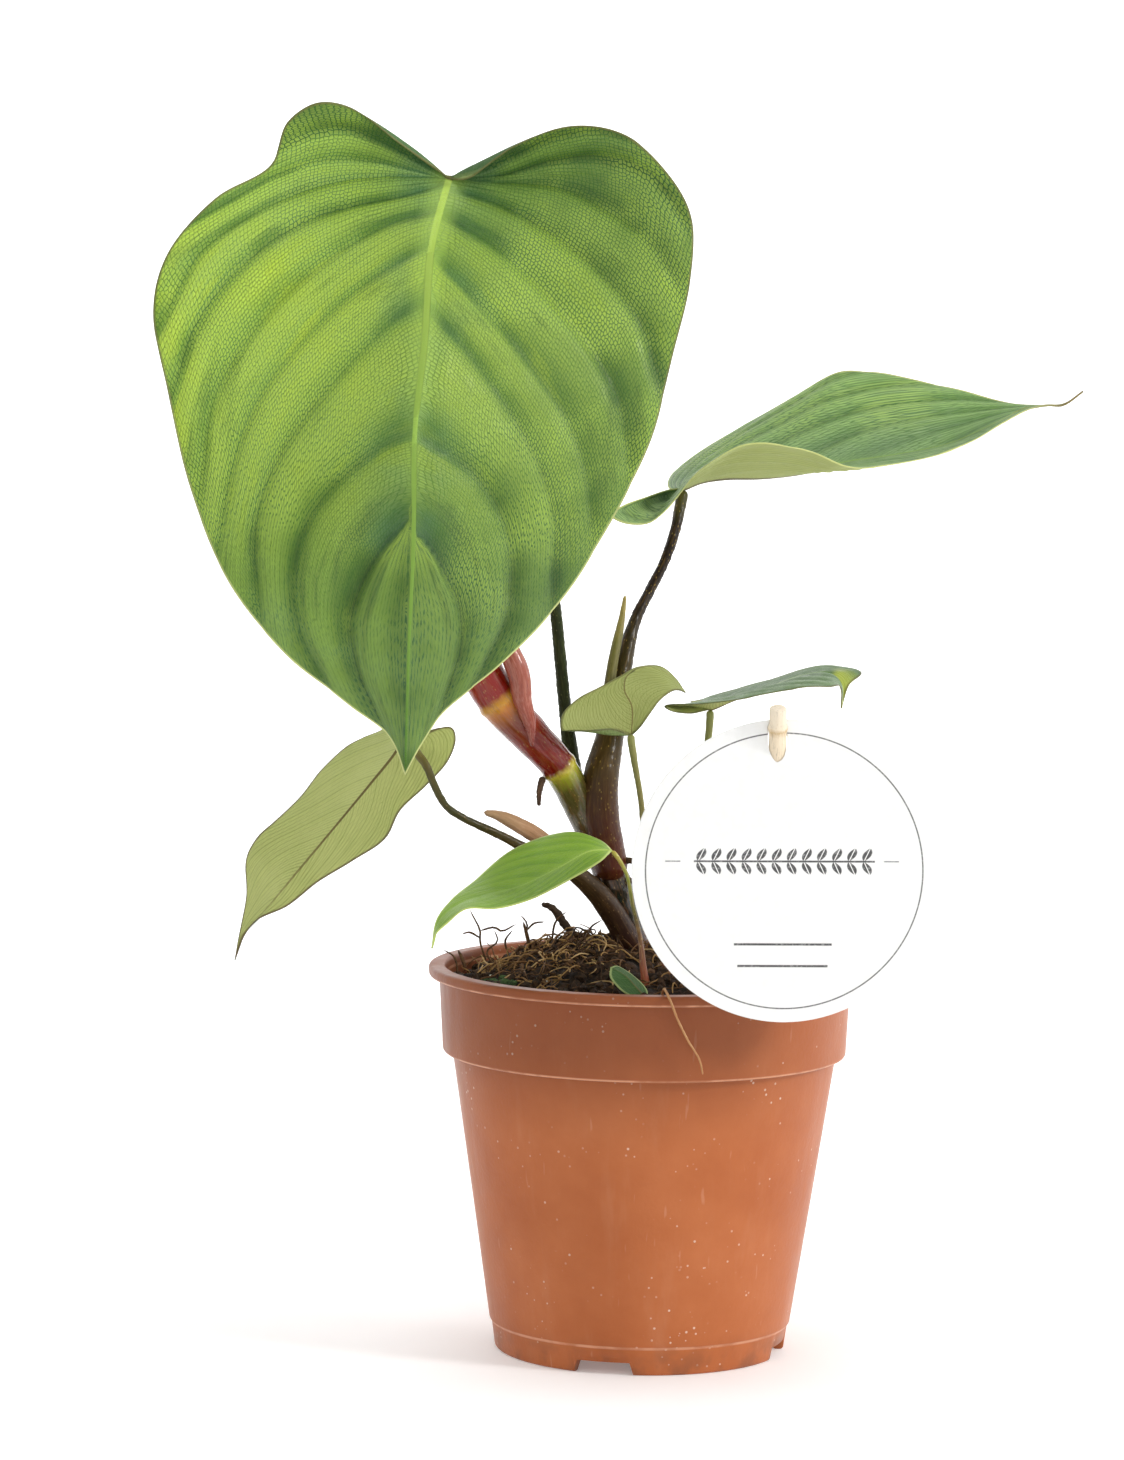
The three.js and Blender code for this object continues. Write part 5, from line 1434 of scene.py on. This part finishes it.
def within(value, middle, half_width):
    """1 where the value is within half a width of a place, 0 elsewhere."""
    half_width = half_width * MM
    return card.fade(card.apart(value, middle * MM), half_width + INK_EDGE, half_width - INK_EDGE)


def inked_bar(middle_x, half_length, middle_z, half_thickness):
    return card.times(within(tag_x, middle_x, half_length), within(level, middle_z, half_thickness))


radial = card.math("SQRT", card.plus(card.times(tag_x, tag_x), card.times(tag_z, tag_z)))
inks = [within(radial, *INK_RING)] + [inked_bar(*bar) for bar in INK_BARS]
# A leaf is as wide as a parabola is high, so it is pointed at both ends; the row repeats every 4 mm.
step_along = card.math("FLOORED_MODULO", card.plus(tag_x, 40 * LEAF_PITCH), LEAF_PITCH)
for sign in (-1, 1):
    out = card.times(card.minus(level, ROW_BAR[2] * MM), sign / LEAF_LENGTH)
    width = card.times(card.times(out, card.minus(1.0, out)), LEAF_FATNESS)
    lean = card.minus(step_along, card.plus(card.times(out, LEAF_LEAN), LEAF_SHIFT))
    from_vein = card.math("ABSOLUTE", lean)
    leaf_shape = card.fade(card.minus(from_vein, width), INK_EDGE, -INK_EDGE)
    vein_gap = card.fade(from_vein, 0.07 * MM, 0.2 * MM)
    inks.append(card.times(leaf_shape, vein_gap, card.fade(out, 0.02, 0.08), within(tag_x, 0, 24.2)))
inks.append(inked_bar(*ROW_BAR))
ink = inks[0]
for more in inks[1:]:
    ink = card.math("MAXIMUM", ink, more)
ink = card.times(ink, card.fade(tag_y, -0.2 * MM, -0.3 * MM))
card_tone = card.ramp(card.noise(400, detail=4), [(0.3, (247, 247, 245)), (0.7, (251, 251, 250))])
worn_ink = card.times(ink, card.fade(card.noise(1500, detail=2), 0.3, 0.5, 0.75, 0.95))
card_material = card.finish(card.mix(worn_ink, card_tone, (52, 50, 52)),
    card.fade(card.noise(700), 0.3, 0.7, 0.35, 0.5), card.relief(card.noise(900), 0.00008, 0.3))
tag_faces = grid_faces(len(tag_profile), TAG_SIDES, closed=True)
tag = add_piece("name_tag_card", tag_points * MM, tag_faces, card_material, "tag_card", ["name_tag"])
tidy(tag)

# %% Bamboo stick
def stick_shape(swell=0.0, sides=40):
    direction = unit(STICK_HEAD - STICK_FOOT)
    length = float(np.linalg.norm(STICK_HEAD - STICK_FOOT))
    sideways = unit(np.cross(direction, [0, 1, 0.2]))
    other = np.cross(direction, sideways)
    head_runs = [length - 0.5, length - 0.15, length]
    runs = np.concatenate([[0.0, 0.4, 4.0, 8.0, 12.0], np.arange(14, length - 0.8, 0.8), head_runs])
    radius = np.interp(runs, [0, 12], [0.5, STICK_RADIUS]) + swell
    for share in STICK_KNUCKLE_SHARES:
        radius += KNUCKLE_SWELL * np.exp(-((runs - share * length) / 0.8) ** 2)
        radius -= 0.15 * np.exp(-((runs - share * length - 1.5) / 0.5) ** 2)
    radius[-1] -= 0.6
    radius[-2] -= 0.25
    turn = np.linspace(0, 2 * math.pi, sides, endpoint=False)
    places, skin = [], []
    for run, size in zip(runs, radius):
        uneven = size * (1 + 0.03 * np.cos(turn * 2 + 0.6) + 0.012 * np.cos(turn * 7 + run * 0.02))
        ring = sideways * (uneven * np.cos(turn))[:, None] + other * (uneven * np.sin(turn))[:, None]
        places.append(STICK_FOOT + direction * run + ring)
        skin.append(np.stack([uneven * np.cos(turn), uneven * np.sin(turn), np.full(sides, run)], 1))
    faces = grid_faces(len(runs), sides, closed=True)
    faces.append(tuple(range(sides))[::-1])
    faces.append(tuple(range((len(runs) - 1) * sides, len(runs) * sides)))
    skin = np.concatenate(skin)
    return np.concatenate(places) * MM, faces, {"skin": skin, "climb": skin[:, 2]}


places, faces, marks = stick_shape()
stick_length = float(np.linalg.norm(STICK_HEAD - STICK_FOOT))
knuckle_runs = [share * stick_length for share in STICK_KNUCKLE_SHARES]
bamboo_bands = [(0, (212, 186, 146))]
for run in knuckle_runs:
    bamboo_bands += [(run - 2, (236, 218, 190)), (run - 0.3, (206, 176, 128)),
        (run + 0.6, (238, 222, 196))]
bamboo_bands.append((knuckle_runs[-1] * 1.05, (240, 226, 204)))
bamboo = stalk_finish("bamboo", bamboo_bands, (250, 238, 216), (206, 176, 132), gloss=0.45, flecks=0.2)
add_piece("bamboo_stick", places, faces, bamboo, "bamboo", ["tag_stick"], marks)
cutter_places, cutter_faces, _ = stick_shape(SLOT_CLEARANCE, SLOT_SIDES)
cut_away(tag, cutter_places, cutter_faces)
for face in tag.data.polygons:
    face.use_smooth = abs(face.normal.y) < 0.98
print("tag faces after the slot:", len(tag.data.polygons))
